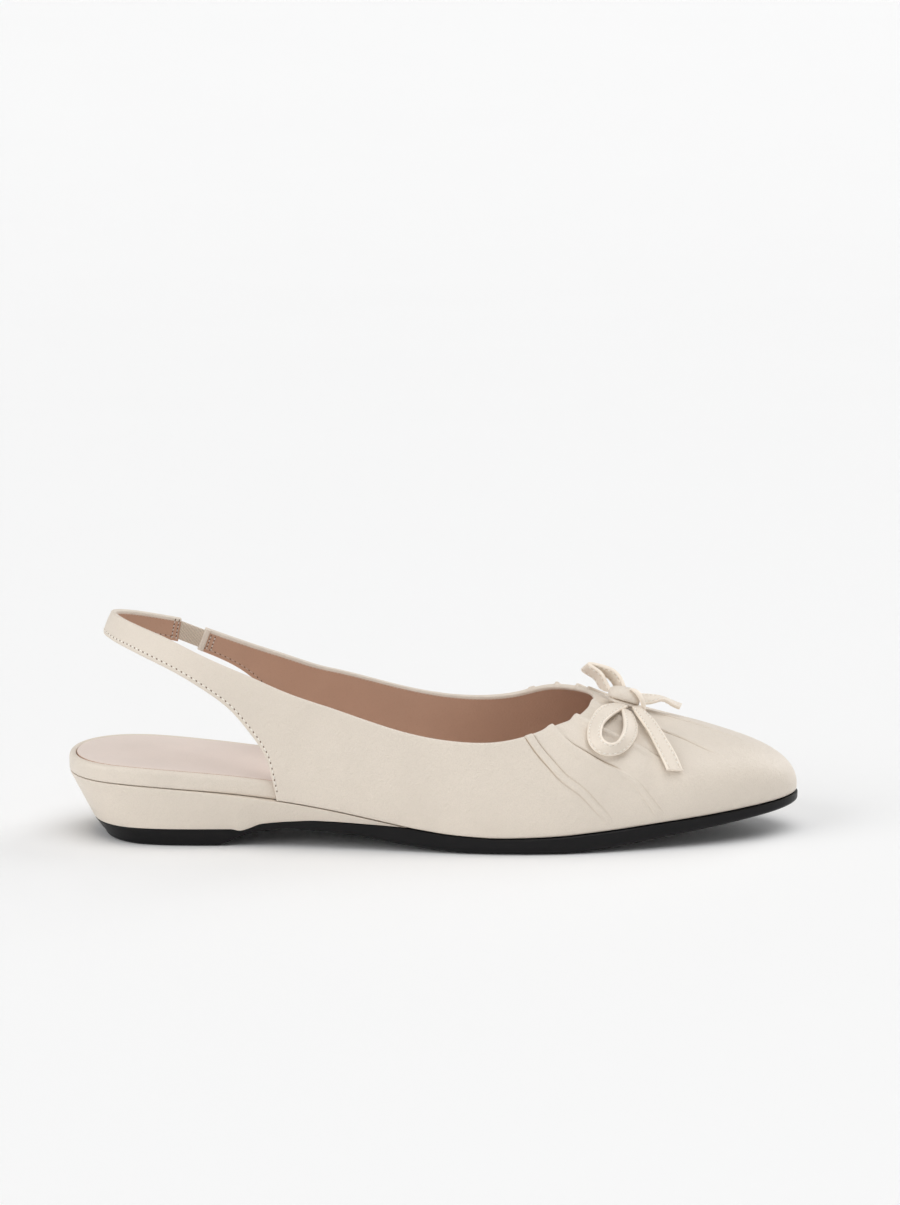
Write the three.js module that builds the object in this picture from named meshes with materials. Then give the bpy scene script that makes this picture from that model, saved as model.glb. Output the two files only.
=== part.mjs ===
import * as THREE from 'three';

// A right-foot slingback pump. Millimetres: +X runs from heel to toe, +Y to the inner side, +Z up.
// Driving dimensions
const length = 252;            // heel to toe over everything
const ballWidth = 79;          // outsole across the ball of the foot
const heelSeat = 22.3;         // floor to the top of the wedge at the back
const instep = 45.3;           // floor to the topline at the middle of the throat
const strapHeight = 77.1;      // floor to the upper edge of the sling strap behind the heel
const forefootSole = 5.4;      // outsole thickness under the ball
const toeSpring = 8.4;         // rise of the feather line from the ball to the toe
const wall = 1.8;              // upper leather with its lining
const clearance = 0.3;         // between two pieces that meet
const ledge = 0.5;             // outsole edge showing past the upper
const liftHeight = 6.1;        // heel lift
const lastTaper = 2.6;         // how far the outsole tip stands past the footbed tip
const archRise = 6.6;          // underside of the shank strip above the floor
const shankStrip = 2.3;        // outsole thickness under the arch
const heelUndercut = 9.4;      // how far the wedge leans in at the back, down to the lift
const liftUndercut = 2.5;      // the same from the top of the lift to the floor
const footbedHeight = 5.9;     // covered footbed at the heel, to the crest of its rim
const rimWidth = 2.4;          // rolled rim beside the sock
const sockThickness = 0.9;
const elasticThickness = 1.3;
const elasticWidth = 7;
const strapWidth = 9;          // sling strap where the elastic joins it
const edgeRound = 2.3;         // rounded lower edge of the outsole at the ball
const soleInset = 3.4;         // how far the heel lift stands inside the footbed's side
const liftDraft = 1.2;         // how far the lift widens upwards
const laceWidth = 5.8;
const laceThickness = 1.4;

// Sizes that follow from them
const heelEnd = -length / 2 + 0.1;
const toeEnd = length / 2 - lastTaper;
const footbedHalf = ballWidth / 2 - ledge - wall - clearance;
const soleReach = wall + clearance + ledge;
const wedgeTip = -0.042 * length;
const stepUp = [0.5, 1.5];     // past the wedge's tip the outsole's top rises to the feather line
const cornerBlend = ballWidth / 2;

// Shared numeric tools
function smooth(rows, key, column) {
  // natural cubic curve through one named column of a table
  const n = rows.length;
  const u = rows.map((row) => row[key]);
  const v = rows.map((row) => row[column]);
  const bend = new Array(n).fill(0);
  const share = new Array(n).fill(0);
  for (let i = 1; i < n - 1; i++) {
    const before = u[i] - u[i - 1];
    const after = u[i + 1] - u[i];
    const turn = (v[i + 1] - v[i]) / after - (v[i] - v[i - 1]) / before;
    const pivot = 2 * (before + after) - before * share[i - 1];
    share[i] = after / pivot;
    bend[i] = (6 * turn - before * bend[i - 1]) / pivot;
  }
  for (let i = n - 2; i > 0; i--) bend[i] -= share[i] * bend[i + 1];
  return (x) => {
    let i = 0;
    while (i < n - 2 && x > u[i + 1]) i++;
    const step = u[i + 1] - u[i];
    const b = (x - u[i]) / step;
    const a = 1 - b;
    const curve = (a ** 3 - a) * bend[i] + (b ** 3 - b) * bend[i + 1];
    return a * v[i] + b * v[i + 1] + (curve * step * step) / 6;
  };
}

function steady(rows, key, column) {
  // curve through one named column that never swings past its rows, so level rows stay flat
  const n = rows.length;
  const u = rows.map((row) => row[key]);
  const v = rows.map((row) => row[column]);
  const rise = u.slice(1).map((next, i) => (v[i + 1] - v[i]) / (next - u[i]));
  const slope = u.map((_, i) => {
    if (i === 0) return rise[0];
    if (i === n - 1) return rise[n - 2];
    return rise[i - 1] * rise[i] <= 0 ? 0 : (2 * rise[i - 1] * rise[i]) / (rise[i - 1] + rise[i]);
  });
  return (x) => {
    const at = Math.min(Math.max(x, u[0]), u[n - 1]);
    let i = 0;
    while (i < n - 2 && at > u[i + 1]) i++;
    const step = u[i + 1] - u[i];
    const t = (at - u[i]) / step;
    const level = v[i] * (1 + 2 * t) * (1 - t) ** 2 + v[i + 1] * (3 - 2 * t) * t ** 2;
    return level + step * (slope[i] * t * (1 - t) ** 2 - slope[i + 1] * (1 - t) * t ** 2);
  };
}

function closedSolid(points, triangles) {
  // one closed body with its faces outwards, whichever way the triangles were listed
  const position = new Float32Array(points.flatMap((p) => [p.x, p.y, p.z]));
  const live = triangles.filter(([a, b, c]) => a !== b && b !== c && c !== a);
  let volume = 0;
  for (const [a, b, c] of live) {
    volume += points[a].dot(new THREE.Vector3().crossVectors(points[b], points[c])) / 6;
  }
  const facing = volume < 0 ? live.map(([a, b, c]) => [a, c, b]) : live;
  const geometry = new THREE.BufferGeometry();
  geometry.setAttribute('position', new THREE.BufferAttribute(position, 3));
  geometry.setIndex(facing.flat());
  geometry.computeVertexNormals();
  return geometry;
}

// Footbed outline in plan. Rows run from heel to toe: share of the footbed length, then each side as a share
// of its half width at the ball.
const outlineRows = [
  { at: 0, lateral: 0, medial: 0 },
  { at: 0.016, lateral: 0.425, medial: 0.425 },
  { at: 0.052, lateral: 0.678, medial: 0.655 },
  { at: 0.112, lateral: 0.79, medial: 0.752 },
  { at: 0.188, lateral: 0.803, medial: 0.72 },
  { at: 0.297, lateral: 0.808, medial: 0.66 },
  { at: 0.393, lateral: 0.851, medial: 0.642 },
  { at: 0.489, lateral: 0.927, medial: 0.72 },
  { at: 0.577, lateral: 0.988, medial: 0.89 },
  { at: 0.658, lateral: 0.978, medial: 0.98 },
  { at: 0.733, lateral: 0.9, medial: 0.94 },
  { at: 0.805, lateral: 0.782, medial: 0.832 },
  { at: 0.876, lateral: 0.64, medial: 0.69 },
  { at: 0.935, lateral: 0.475, medial: 0.515 },
  { at: 0.975, lateral: 0.3, medial: 0.335 },
  { at: 0.995, lateral: 0.13, medial: 0.155 },
  { at: 1, lateral: 0, medial: 0 },
];
const toTurn = (at) => Math.acos(1 - 2 * at) / Math.PI;
const fromTurn = (turn) => (1 - Math.cos(Math.PI * turn)) / 2;
for (const row of outlineRows) row.turn = toTurn(row.at);
const lateralShare = smooth(outlineRows, 'turn', 'lateral');
const medialShare = smooth(outlineRows, 'turn', 'medial');

// The outline is walked by its turn: 0 at the heel, along the lateral side to 1 at the toe, and back to 2.
function outlinePoint(turn, heel = heelEnd, toe = toeEnd) {
  const lateral = turn <= 1;
  const side = lateral ? turn : 2 - turn;
  const y = lateral ? -lateralShare(side) : medialShare(side);
  return new THREE.Vector2(heel + fromTurn(side) * (toe - heel), y * footbedHalf);
}

function outwardAt(turn, heel, toe) {
  const step = 0.004;
  const before = outlinePoint((turn - step + 2) % 2, heel, toe);
  const after = outlinePoint((turn + step) % 2, heel, toe);
  const along = after.sub(before).normalize();
  return new THREE.Vector2(along.y, -along.x);
}

const shareOf = (x) => (x + length / 2) / length;

// Height of the feather line, where upper, footbed, wedge and outsole meet
const seatRows = [
  { at: -0.02, rise: 1.0, spring: 0 },
  { at: 0.056, rise: 0.977, spring: 0 },
  { at: 0.187, rise: 0.845, spring: 0 },
  { at: 0.294, rise: 0.668, spring: 0 },
  { at: 0.357, rise: 0.513, spring: 0 },
  { at: 0.425, rise: 0.31, spring: 0 },
  { at: 0.48, rise: 0.147, spring: 0 },
  { at: 0.535, rise: 0.041, spring: 0 },
  { at: 0.59, rise: 0, spring: 0 },
  { at: 0.655, rise: 0, spring: 0.04 },
  { at: 0.725, rise: 0, spring: 0.19 },
  { at: 0.79, rise: 0, spring: 0.375 },
  { at: 0.86, rise: 0, spring: 0.57 },
  { at: 0.93, rise: 0, spring: 0.785 },
  { at: 1.02, rise: 0, spring: 1.05 },
];
const seatRise = steady(seatRows, 'at', 'rise');
const seatSpring = steady(seatRows, 'at', 'spring');
function seat(x) {
  const at = shareOf(x);
  return forefootSole + (heelSeat - forefootSole) * seatRise(at) + toeSpring * seatSpring(at);
}

// Outsole: underside, top and edge along its length. Flat at the heel and under the ball.
// arch, spring, lift and strip are shares of archRise, toeSpring, liftHeight and shankStrip; grow is a share
// of soleInset where it is negative and of the sole's reach past the footbed where it is positive.
const treadRows = [
  { at: -0.02, arch: 0, spring: 0, lift: 1, strip: 0, grow: -1, round: 0.5, draft: 1 },
  { at: 0.208, arch: 0, spring: 0, lift: 1, strip: 0, grow: -1, round: 0.5, draft: 1 },
  { at: 0.228, arch: 0.3, spring: 0, lift: 1, strip: 0, grow: -0.93, round: 0.4, draft: 0.8 },
  { at: 0.25, arch: 0.67, spring: 0, lift: 0.35, strip: 0.8, grow: -0.75, round: 0.3, draft: 0.4 },
  { at: 0.27, arch: 0.87, spring: 0, lift: 0, strip: 1, grow: -0.55, round: 0.25, draft: 0 },
  { at: 0.31, arch: 1, spring: 0, lift: 0, strip: 1, grow: -0.25, round: 0.25, draft: 0 },
  { at: 0.36, arch: 0.89, spring: 0, lift: 0, strip: 1.1, grow: 0.1, round: 0.3, draft: 0 },
  { at: 0.415, arch: 0.64, spring: 0, lift: 0, strip: 1.15, grow: 0.38, round: 0.4, draft: 0 },
  { at: 0.44, arch: 0.47, spring: 0, lift: 0, strip: 1.3, grow: 0.5, round: 0.5, draft: 0 },
  { at: 0.456, arch: 0.38, spring: 0, lift: 0, strip: 2.02, grow: 0.56, round: 0.55, draft: 0 },
  { at: 0.5, arch: 0.15, spring: 0, lift: 0, strip: 2.1, grow: 0.75, round: 0.8, draft: 0 },
  { at: 0.545, arch: 0, spring: 0, lift: 0, strip: 2.1, grow: 0.9, round: 1, draft: 0 },
  { at: 0.67, arch: 0, spring: 0, lift: 0, strip: 2.1, grow: 1, round: 1, draft: 0 },
  { at: 0.73, arch: 0, spring: 0.15, lift: 0, strip: 2.1, grow: 1, round: 0.9, draft: 0 },
  { at: 0.8, arch: 0, spring: 0.45, lift: 0, strip: 2.1, grow: 1, round: 0.75, draft: 0 },
  { at: 0.88, arch: 0, spring: 0.78, lift: 0, strip: 2.1, grow: 1, round: 0.6, draft: 0 },
  { at: 1.02, arch: 0, spring: 1.33, lift: 0, strip: 2.1, grow: 1, round: 0.5, draft: 0 },
];
const tread = {};
for (const name of ['arch', 'spring', 'lift', 'strip', 'grow', 'round', 'draft']) {
  tread[name] = steady(treadRows, 'at', name);
}
const underside = (x) => archRise * tread.arch(shareOf(x)) + toeSpring * tread.spring(shareOf(x));

function outsoleTop(x) {
  const at = shareOf(x);
  const strip = archRise * tread.arch(at) + shankStrip * tread.strip(at);
  const lift = tread.lift(at);
  const covered = lift * liftHeight + (1 - lift) * strip;
  const past = THREE.MathUtils.clamp((x - wedgeTip - stepUp[0]) / (stepUp[1] - stepUp[0]), 0, 1);
  return THREE.MathUtils.lerp(Math.min(covered, seat(x)), seat(x), past);
}

function soleEdge(x) {
  const grow = tread.grow(shareOf(x));
  return grow * (grow < 0 ? soleInset : soleReach);
}

// Rings of one outline, stacked from the underside to the top and closed by strips across
function ring(turns, heel, grow, height, toe = toeEnd) {
  return turns.map((turn) => {
    const at = outlinePoint(turn, heel, toe);
    const plan = at.clone().addScaledVector(outwardAt(turn, heel, toe), grow(at.x));
    return new THREE.Vector3(plan.x, plan.y, height(plan.x));
  });
}

function stack(rings) {
  const n = rings[0].length;
  const triangles = [];
  for (let k = 0; k < rings.length - 1; k++) {
    for (let i = 0; i < n; i++) {
      const j = (i + 1) % n;
      triangles.push([k * n + i, k * n + j, (k + 1) * n + j], [k * n + i, (k + 1) * n + j, (k + 1) * n + i]);
    }
  }
  const across = (i) => (n - i) % n;
  const last = (rings.length - 1) * n;
  for (let i = 0; i < Math.floor(n / 2); i++) {
    const [a, b, c, d] = [i, i + 1, across(i + 1), across(i)];
    triangles.push([a, c, b], [a, d, c]);
    triangles.push([last + a, last + b, last + c], [last + a, last + c, last + d]);
  }
  return closedSolid(rings.flat(), triangles);
}

function turnsTo(count, lastAt, extra = []) {
  // matching turns on both sides, from the heel to a share of the length
  const lastTurn = toTurn(lastAt);
  const side = extra.map(toTurn);
  for (let i = 0; i <= count; i++) {
    const turn = (lastTurn * i) / count;
    if (!extra.some((at) => Math.abs(toTurn(at) - turn) < 0.006)) side.push(turn);
  }
  side.sort((a, b) => a - b);
  const back = side.filter((turn) => turn > 0 && turn < 1).reverse().map((turn) => 2 - turn);
  return side.concat(back);
}

const liftHeel = heelEnd + heelUndercut - soleInset;
const liftShare = (x) => (x - liftHeel) / (toeEnd - liftHeel);

const breast = [0.208, 0.228, 0.25, 0.27].map((at) => liftShare((at - 0.5) * length));
const tipShare = liftShare(wedgeTip);
const soleTurns = turnsTo(38, 1, [...breast, tipShare, ...stepUp.map((past) => liftShare(wedgeTip + past))]);
const soleTopEdge = (x) => soleEdge(x) + liftDraft * tread.draft(shareOf(x));

function outsole() {
  const treadHeel = liftHeel + liftUndercut;
  const corner = (x) => edgeRound * tread.round(shareOf(x));
  return stack([
    ring(soleTurns, treadHeel, (x) => soleEdge(x) - 1.3 * corner(x), underside),
    ring(soleTurns, treadHeel, (x) => soleEdge(x) - 0.4 * corner(x), (x) => underside(x) + 0.3 * corner(x)),
    ring(soleTurns, treadHeel, soleEdge, (x) => underside(x) + corner(x)),
    ring(soleTurns, liftHeel, soleTopEdge, outsoleTop),
  ]);
}

// Wedge heel: covered block between outsole and feather line, running out at the arch
const wedgeRows = [
  { at: -0.02, grow: 0 },
  { at: 0.12, grow: 0 },
  { at: 0.29, grow: 1 },
  { at: 0.5, grow: 1 },
];
const wedgeGrow = steady(wedgeRows, 'at', 'grow');

function wedge() {
  const tipTurn = toTurn(tipShare) + 1e-6;
  const turns = soleTurns.filter((turn) => turn <= tipTurn || turn >= 2 - tipTurn);
  const topGrow = (x) => (wall + clearance) * wedgeGrow(shareOf(x));
  const base = (x) => outsoleTop(x) + clearance;
  const layer = (share) => ring(
    turns,
    THREE.MathUtils.lerp(liftHeel, heelEnd, share),
    (x) => THREE.MathUtils.lerp(soleTopEdge(x), topGrow(x), share),
    (x) => THREE.MathUtils.lerp(base(x), seat(x), share),
  );
  return stack([0, 0.5, 1].map(layer));
}

// Footbed: covered board with a rolled rim, and the sock let into it
const footbedRows = [
  { at: -0.02, deep: 1 },
  { at: 0.3, deep: 1 },
  { at: 0.55, deep: 0.75 },
  { at: 1.02, deep: 0.6 },
];
const footbedDeep = steady(footbedRows, 'at', 'deep');
const crest = (x) => seat(x) + clearance + footbedHeight * footbedDeep(shareOf(x));
const sockSeat = (x) => crest(x) - 0.3 * rimWidth - sockThickness;

function footbed() {
  const turns = turnsTo(36, 1);
  const level = (inset, height) => ring(turns, heelEnd, () => -inset, height);
  return stack([
    level(0.1, (x) => seat(x) + clearance),
    level(0, (x) => crest(x) - rimWidth),
    level(0.18 * rimWidth, (x) => crest(x) - 0.3 * rimWidth),
    level(0.52 * rimWidth, crest),
    level(rimWidth, (x) => crest(x) - 0.3 * rimWidth),
    level(rimWidth, sockSeat),
  ]);
}

function sock() {
  const turns = turnsTo(34, 1);
  const level = (inset, rise) => ring(turns, heelEnd, () => -rimWidth - inset, (x) => sockSeat(x) + rise);
  return stack([
    level(clearance, clearance),
    level(clearance, 0.7 * sockThickness),
    level(3 * clearance, clearance + sockThickness),
  ]);
}

// Upper. Each row is a rib that runs from the lower edge to the topline, in order from the strap's end on the
// inner side, round the heel, along the outer side, round the toe and back to the tip on the inner side.
// Its foot stands free (x, y, z) on the strap and the quarters' rear edges, and on the feather line elsewhere
// (at, side). Lengths are shares: x of length, y of half the ball width, z of strapHeight, at of the footbed.
// The two handles push the rib outwards and upwards, as shares of instep.
const ribRows = [
  { x: -0.3595, y: 0.527, z: 0.807, topX: -0.3532, topY: 0.514, topZ: 0.919, lowOut: 0.01, lowUp: 0, highOut: 0.01, highUp: 0 },
  { x: -0.4028, y: 0.367, z: 0.851, topX: -0.3929, topY: 0.359, topZ: 0.957, lowOut: 0.01, lowUp: 0, highOut: 0.01, highUp: 0 },
  { x: -0.4361, y: 0.185, z: 0.882, topX: -0.4246, topY: 0.18, topZ: 0.987, lowOut: 0.01, lowUp: 0, highOut: 0.01, highUp: 0 },
  { x: -0.4508, y: -0.010, z: 0.894, topX: -0.4377, topY: -0.01, topZ: 1, lowOut: 0.01, lowUp: 0, highOut: 0.01, highUp: 0 },
  { x: -0.4377, y: -0.203, z: 0.879, topX: -0.4262, topY: -0.2, topZ: 0.988, lowOut: 0.01, lowUp: 0, highOut: 0.01, highUp: 0 },
  { x: -0.4147, y: -0.392, z: 0.861, topX: -0.3944, topY: -0.38, topZ: 0.958, lowOut: 0.01, lowUp: 0, highOut: 0.01, highUp: 0 },
  { x: -0.3845, y: -0.557, z: 0.831, topX: -0.3611, topY: -0.519, topZ: 0.926, lowOut: 0.01, lowUp: 0, highOut: 0.01, highUp: 0 },
  { x: -0.3448, y: -0.671, z: 0.777, topX: -0.3194, topY: -0.633, topZ: 0.869, lowOut: 0.01, lowUp: 0, highOut: 0.01, highUp: 0 },
  { x: -0.3063, y: -0.742, z: 0.707, topX: -0.2738, topY: -0.714, topZ: 0.808, lowOut: 0.012, lowUp: 0, highOut: 0.012, highUp: 0 },
  { x: -0.2718, y: -0.780, z: 0.625, topX: -0.2381, topY: -0.754, topZ: 0.761, lowOut: 0.016, lowUp: 0, highOut: 0.014, highUp: 0 },
  { x: -0.2492, y: -0.800, z: 0.541, topX: -0.2063, topY: -0.785, topZ: 0.716, lowOut: 0.02, lowUp: 0, highOut: 0.016, highUp: 0 },
  { x: -0.2345, y: -0.810, z: 0.477, topX: -0.1845, topY: -0.805, topZ: 0.689, lowOut: 0.024, lowUp: 0, highOut: 0.018, highUp: 0 },
  { x: -0.2222, y: -0.815, z: 0.403, topX: -0.1667, topY: -0.815, topZ: 0.669, lowOut: 0.028, lowUp: 0, highOut: 0.02, highUp: 0 },
  { x: -0.2155, y: -0.815, z: 0.318, topX: -0.1528, topY: -0.82, topZ: 0.654, lowOut: 0.03, lowUp: 0, highOut: 0.022, highUp: 0 },
  { side: 'lateral', at: 0.2935, topX: -0.1409, topY: -0.828, topZ: 0.642, lowOut: 0.032, lowUp: 0, highOut: 0.024, highUp: 0 },
  { side: 'lateral', at: 0.4, topX: -0.05, topY: -0.896, topZ: 0.548, lowOut: 0.045, lowUp: 0, highOut: 0.045, highUp: 0 },
  { side: 'lateral', at: 0.5, topX: 0.02, topY: -0.912, topZ: 0.502, lowOut: 0.055, lowUp: 0, highOut: 0.055, highUp: 0 },
  { side: 'lateral', at: 0.6, topX: 0.08, topY: -0.885, topZ: 0.493, lowOut: 0.06, lowUp: 0, highOut: 0.06, highUp: 0 },
  { side: 'lateral', at: 0.69, topX: 0.125, topY: -0.8, topZ: 0.515, lowOut: 0.09, lowUp: 0.02, highOut: 0.08, highUp: 0.01 },
  { side: 'lateral', at: 0.77, topX: 0.159, topY: -0.65, topZ: 0.541, lowOut: 0.16, lowUp: 0.06, highOut: 0.13, highUp: 0.03 },
  { side: 'lateral', at: 0.85, topX: 0.1900, topY: -0.44, topZ: 0.557, lowOut: 0.29, lowUp: 0.12, highOut: 0.2, highUp: 0.05 },
  { side: 'lateral', at: 0.93, topX: 0.2100, topY: -0.2, topZ: 0.581, lowOut: 0.47, lowUp: 0.17, highOut: 0.23, highUp: -0.02 },
  { side: 'toe', at: 1, topX: 0.2193, topY: 0.013, topZ: 0.604, lowOut: 0.58, lowUp: 0.19, highOut: 0.26, highUp: -0.03 },
  { side: 'medial', at: 0.93, topX: 0.2140, topY: 0.215, topZ: 0.616, lowOut: 0.47, lowUp: 0.17, highOut: 0.23, highUp: -0.02 },
  { side: 'medial', at: 0.85, topX: 0.1950, topY: 0.4, topZ: 0.616, lowOut: 0.3, lowUp: 0.12, highOut: 0.2, highUp: 0.055 },
  { side: 'medial', at: 0.77, topX: 0.159, topY: 0.59, topZ: 0.603, lowOut: 0.17, lowUp: 0.06, highOut: 0.13, highUp: 0.03 },
  { side: 'medial', at: 0.69, topX: 0.12, topY: 0.745, topZ: 0.557, lowOut: 0.1, lowUp: 0.02, highOut: 0.08, highUp: 0.01 },
  { side: 'medial', at: 0.6, topX: 0.075, topY: 0.835, topZ: 0.529, lowOut: 0.08, lowUp: 0, highOut: 0.06, highUp: 0 },
  { side: 'medial', at: 0.5, topX: 0.015, topY: 0.875, topZ: 0.532, lowOut: 0.1, lowUp: 0, highOut: 0.06, highUp: 0 },
  { side: 'medial', at: 0.4, topX: -0.055, topY: 0.865, topZ: 0.577, lowOut: 0.11, lowUp: 0, highOut: 0.06, highUp: 0 },
  { side: 'medial', at: 0.3, topX: -0.138, topY: 0.8, topZ: 0.654, lowOut: 0.09, lowUp: 0, highOut: 0.05, highUp: 0 },
  { x: -0.21, y: 0.7, z: 0.315, topX: -0.155, topY: 0.785, topZ: 0.668, lowOut: 0.075, lowUp: 0, highOut: 0.045, highUp: 0 },
  { x: -0.2185, y: 0.725, z: 0.42, topX: -0.177, topY: 0.76, topZ: 0.692, lowOut: 0.055, lowUp: 0, highOut: 0.04, highUp: 0 },
  { x: -0.233, y: 0.72, z: 0.525, topX: -0.205, topY: 0.725, topZ: 0.727, lowOut: 0.04, lowUp: 0, highOut: 0.03, highUp: 0 },
  { x: -0.257, y: 0.69, z: 0.62, topX: -0.24, topY: 0.68, topZ: 0.769, lowOut: 0.03, lowUp: 0, highOut: 0.02, highUp: 0 },
  { x: -0.288, y: 0.64, z: 0.695, topX: -0.276, topY: 0.625, topZ: 0.815, lowOut: 0.02, lowUp: 0, highOut: 0.015, highUp: 0 },
  { x: -0.33, y: 0.582, z: 0.763, topX: -0.3171, topY: 0.572, topZ: 0.868, lowOut: 0.01, lowUp: 0, highOut: 0.01, highUp: 0 },
];

const sideTurn = { lateral: (turn) => turn, toe: (turn) => turn, medial: (turn) => 2 - turn };
const feather = (turn) => {
  const plan = outlinePoint(turn).addScaledVector(outwardAt(turn), wall + clearance);
  return new THREE.Vector3(plan.x, plan.y, seat(plan.x) + clearance);
};

for (const row of ribRows) {
  row.turn = row.side ? sideTurn[row.side](toTurn(row.at)) : null;
  const foot = row.side
    ? feather(row.turn)
    : new THREE.Vector3(row.x * length, (row.y * ballWidth) / 2, row.z * strapHeight);
  [row.footX, row.footY, row.footZ] = foot.toArray();
}
ribRows.forEach((row, i) => {
  const last = ribRows[i - 1];
  const stride = last ? Math.hypot(
    (row.footX - last.footX + (row.topX - last.topX) * length) / 2,
    (row.footY - last.footY + ((row.topY - last.topY) * ballWidth) / 2) / 2,
    (row.footZ - last.footZ + (row.topZ - last.topZ) * strapHeight) / 2,
  ) : 0;
  row.along = last ? last.along + stride : 0;
});

// The foot has a corner where each rear edge meets the feather line, so it is drawn as three curves.
const firstOnFeather = ribRows.findIndex((row) => row.side);
const lastOnFeather = ribRows.findLastIndex((row) => row.side);
const strapRows = ribRows.slice(0, firstOnFeather + 1);
const featherRows = ribRows.slice(firstOnFeather, lastOnFeather + 1);
const tipRows = ribRows.slice(lastOnFeather);
const freeFoot = (rows) => ['footX', 'footY', 'footZ'].map((name) => smooth(rows, 'along', name));
const strapFoot = freeFoot(strapRows);
const tipFoot = freeFoot(tipRows);
const featherTurn = smooth(featherRows, 'along', 'turn');
const alongOf = smooth(featherRows, 'turn', 'along');
const lateralCorner = featherRows[0].along;
const medialCorner = tipRows[0].along;
const ribEnd = ribRows.at(-1).along;

function footAt(along) {
  if (along >= lateralCorner && along <= medialCorner) return feather(featherTurn(along));
  const curves = along < lateralCorner ? strapFoot : tipFoot;
  return new THREE.Vector3(...curves.map((curve) => curve(along)));
}

const rib = {};
for (const name of ['topX', 'topY', 'topZ', 'lowOut', 'lowUp', 'highOut', 'highUp']) {
  rib[name] = smooth(ribRows, 'along', name);
}
const toplineAt = (along) => new THREE.Vector3(
  rib.topX(along) * length,
  (rib.topY(along) * ballWidth) / 2,
  rib.topZ(along) * strapHeight,
);

function levelNormal(curve, along) {
  const step = 0.5;
  const run = curve(Math.min(along + step, ribEnd)).sub(curve(Math.max(along - step, 0)));
  return new THREE.Vector3(run.y, -run.x, 0).normalize();
}

function ribPoint(along, t) {
  const foot = footAt(along);
  const top = toplineAt(along);
  const outTop = levelNormal(toplineAt, along);
  const onFeather = along >= lateralCorner && along <= medialCorner;
  const outFoot = outTop.clone();
  if (onFeather) {
    const plan = outwardAt(featherTurn(along));
    const fromCorner = Math.min(along - lateralCorner, medialCorner - along);
    const share = THREE.MathUtils.smoothstep(fromCorner, 0, cornerBlend);
    outFoot.lerp(new THREE.Vector3(plan.x, plan.y, 0), share).normalize();
  }
  const low = foot.clone().lerp(top, 1 / 3).addScaledVector(outFoot, rib.lowOut(along) * instep);
  low.z += rib.lowUp(along) * instep;
  const high = foot.clone().lerp(top, 2 / 3).addScaledVector(outTop, rib.highOut(along) * instep);
  high.z += rib.highUp(along) * instep;
  return new THREE.CubicBezierCurve3(foot, low, high, top).getPoint(t);
}

function upperNormal(along, t) {
  const step = 0.02;
  const across = ribPoint(along, Math.min(t + step, 1)).sub(ribPoint(along, Math.max(t - step, 0)));
  const ahead = ribPoint(Math.min(along + 0.5, ribEnd), t).sub(ribPoint(Math.max(along - 0.5, 0), t));
  const normal = new THREE.Vector3().crossVectors(ahead, across).normalize();
  const onFeather = along >= lateralCorner && along <= medialCorner;
  if (onFeather && t < 0.1) normal.z *= t / 0.1;
  return normal.normalize();
}

function spread(from, to, count) {
  return Array.from({ length: count }, (_, i) => from + ((to - from) * i) / count);
}

function upper() {
  const stations = [
    ...spread(0, lateralCorner, 34),
    ...spread(featherRows[0].turn, tipRows[0].turn, 60).map(alongOf),
    ...spread(medialCorner, ribEnd, 11),
    ribEnd,
  ];
  const rows = 11;
  const skin = stations.map((along) => Array.from({ length: rows + 1 }, (_, k) => {
    const t = (k / rows) ** 1.2;
    const outside = ribPoint(along, t);
    const inside = outside.clone().addScaledVector(upperNormal(along, t), -wall);
    return { outside, inside };
  }));
  const loop = 2 * (rows + 1);
  const points = skin.flatMap((column) => [
    ...column.map((pair) => pair.outside),
    ...column.map((pair) => pair.inside).reverse(),
  ]);
  const triangles = [];
  for (let i = 0; i < stations.length - 1; i++) {
    for (let k = 0; k < loop; k++) {
      const next = (k + 1) % loop;
      const [a, b] = [i * loop + k, i * loop + next];
      triangles.push([a, b, b + loop], [a, b + loop, a + loop]);
    }
  }
  const last = (stations.length - 1) * loop;
  for (let k = 0; k < rows; k++) {
    const [a, b, c, d] = [k, k + 1, loop - 2 - k, loop - 1 - k];
    triangles.push([a, c, b], [a, d, c]);
    triangles.push([last + a, last + b, last + c], [last + a, last + c, last + d]);
  }
  return closedSolid(points, triangles);
}

// Elastic between the strap's end and the tip of the inner quarter, in the middle of their walls
function elastic() {
  const band = (1 - elasticWidth / strapWidth) / 2;
  const ends = [0, ribEnd].map((along) => [band, 1 - band].map((t) => {
    const middle = ribPoint(along, t).addScaledVector(upperNormal(along, t), -wall / 2);
    return middle;
  }));
  const run = [0, 1].map((k) => ends[1][k].clone().sub(ends[0][k]).normalize());
  for (const k of [0, 1]) {
    ends[0][k].addScaledVector(run[k], clearance);
    ends[1][k].addScaledVector(run[k], -clearance);
  }
  const width = ends[0][1].clone().sub(ends[0][0]).normalize();
  const out = new THREE.Vector3().crossVectors(width, run[0]).normalize();
  const count = 6;
  const points = [];
  for (let i = 0; i <= count; i++) {
    const corners = [0, 1].map((k) => ends[0][k].clone().lerp(ends[1][k], i / count));
    for (const [k, side] of [[0, 1], [1, 1], [1, -1], [0, -1]]) {
      points.push(corners[k].clone().addScaledVector(out, (side * elasticThickness) / 2));
    }
  }
  const triangles = [[0, 1, 2], [0, 2, 3]];
  for (let i = 0; i < count; i++) {
    for (let k = 0; k < 4; k++) {
      const [a, b] = [i * 4 + k, i * 4 + ((k + 1) % 4)];
      triangles.push([a, b + 4, b], [a, a + 4, b + 4]);
    }
  }
  const last = count * 4;
  triangles.push([last, last + 2, last + 1], [last, last + 3, last + 2]);
  return closedSolid(points, triangles);
}

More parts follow.
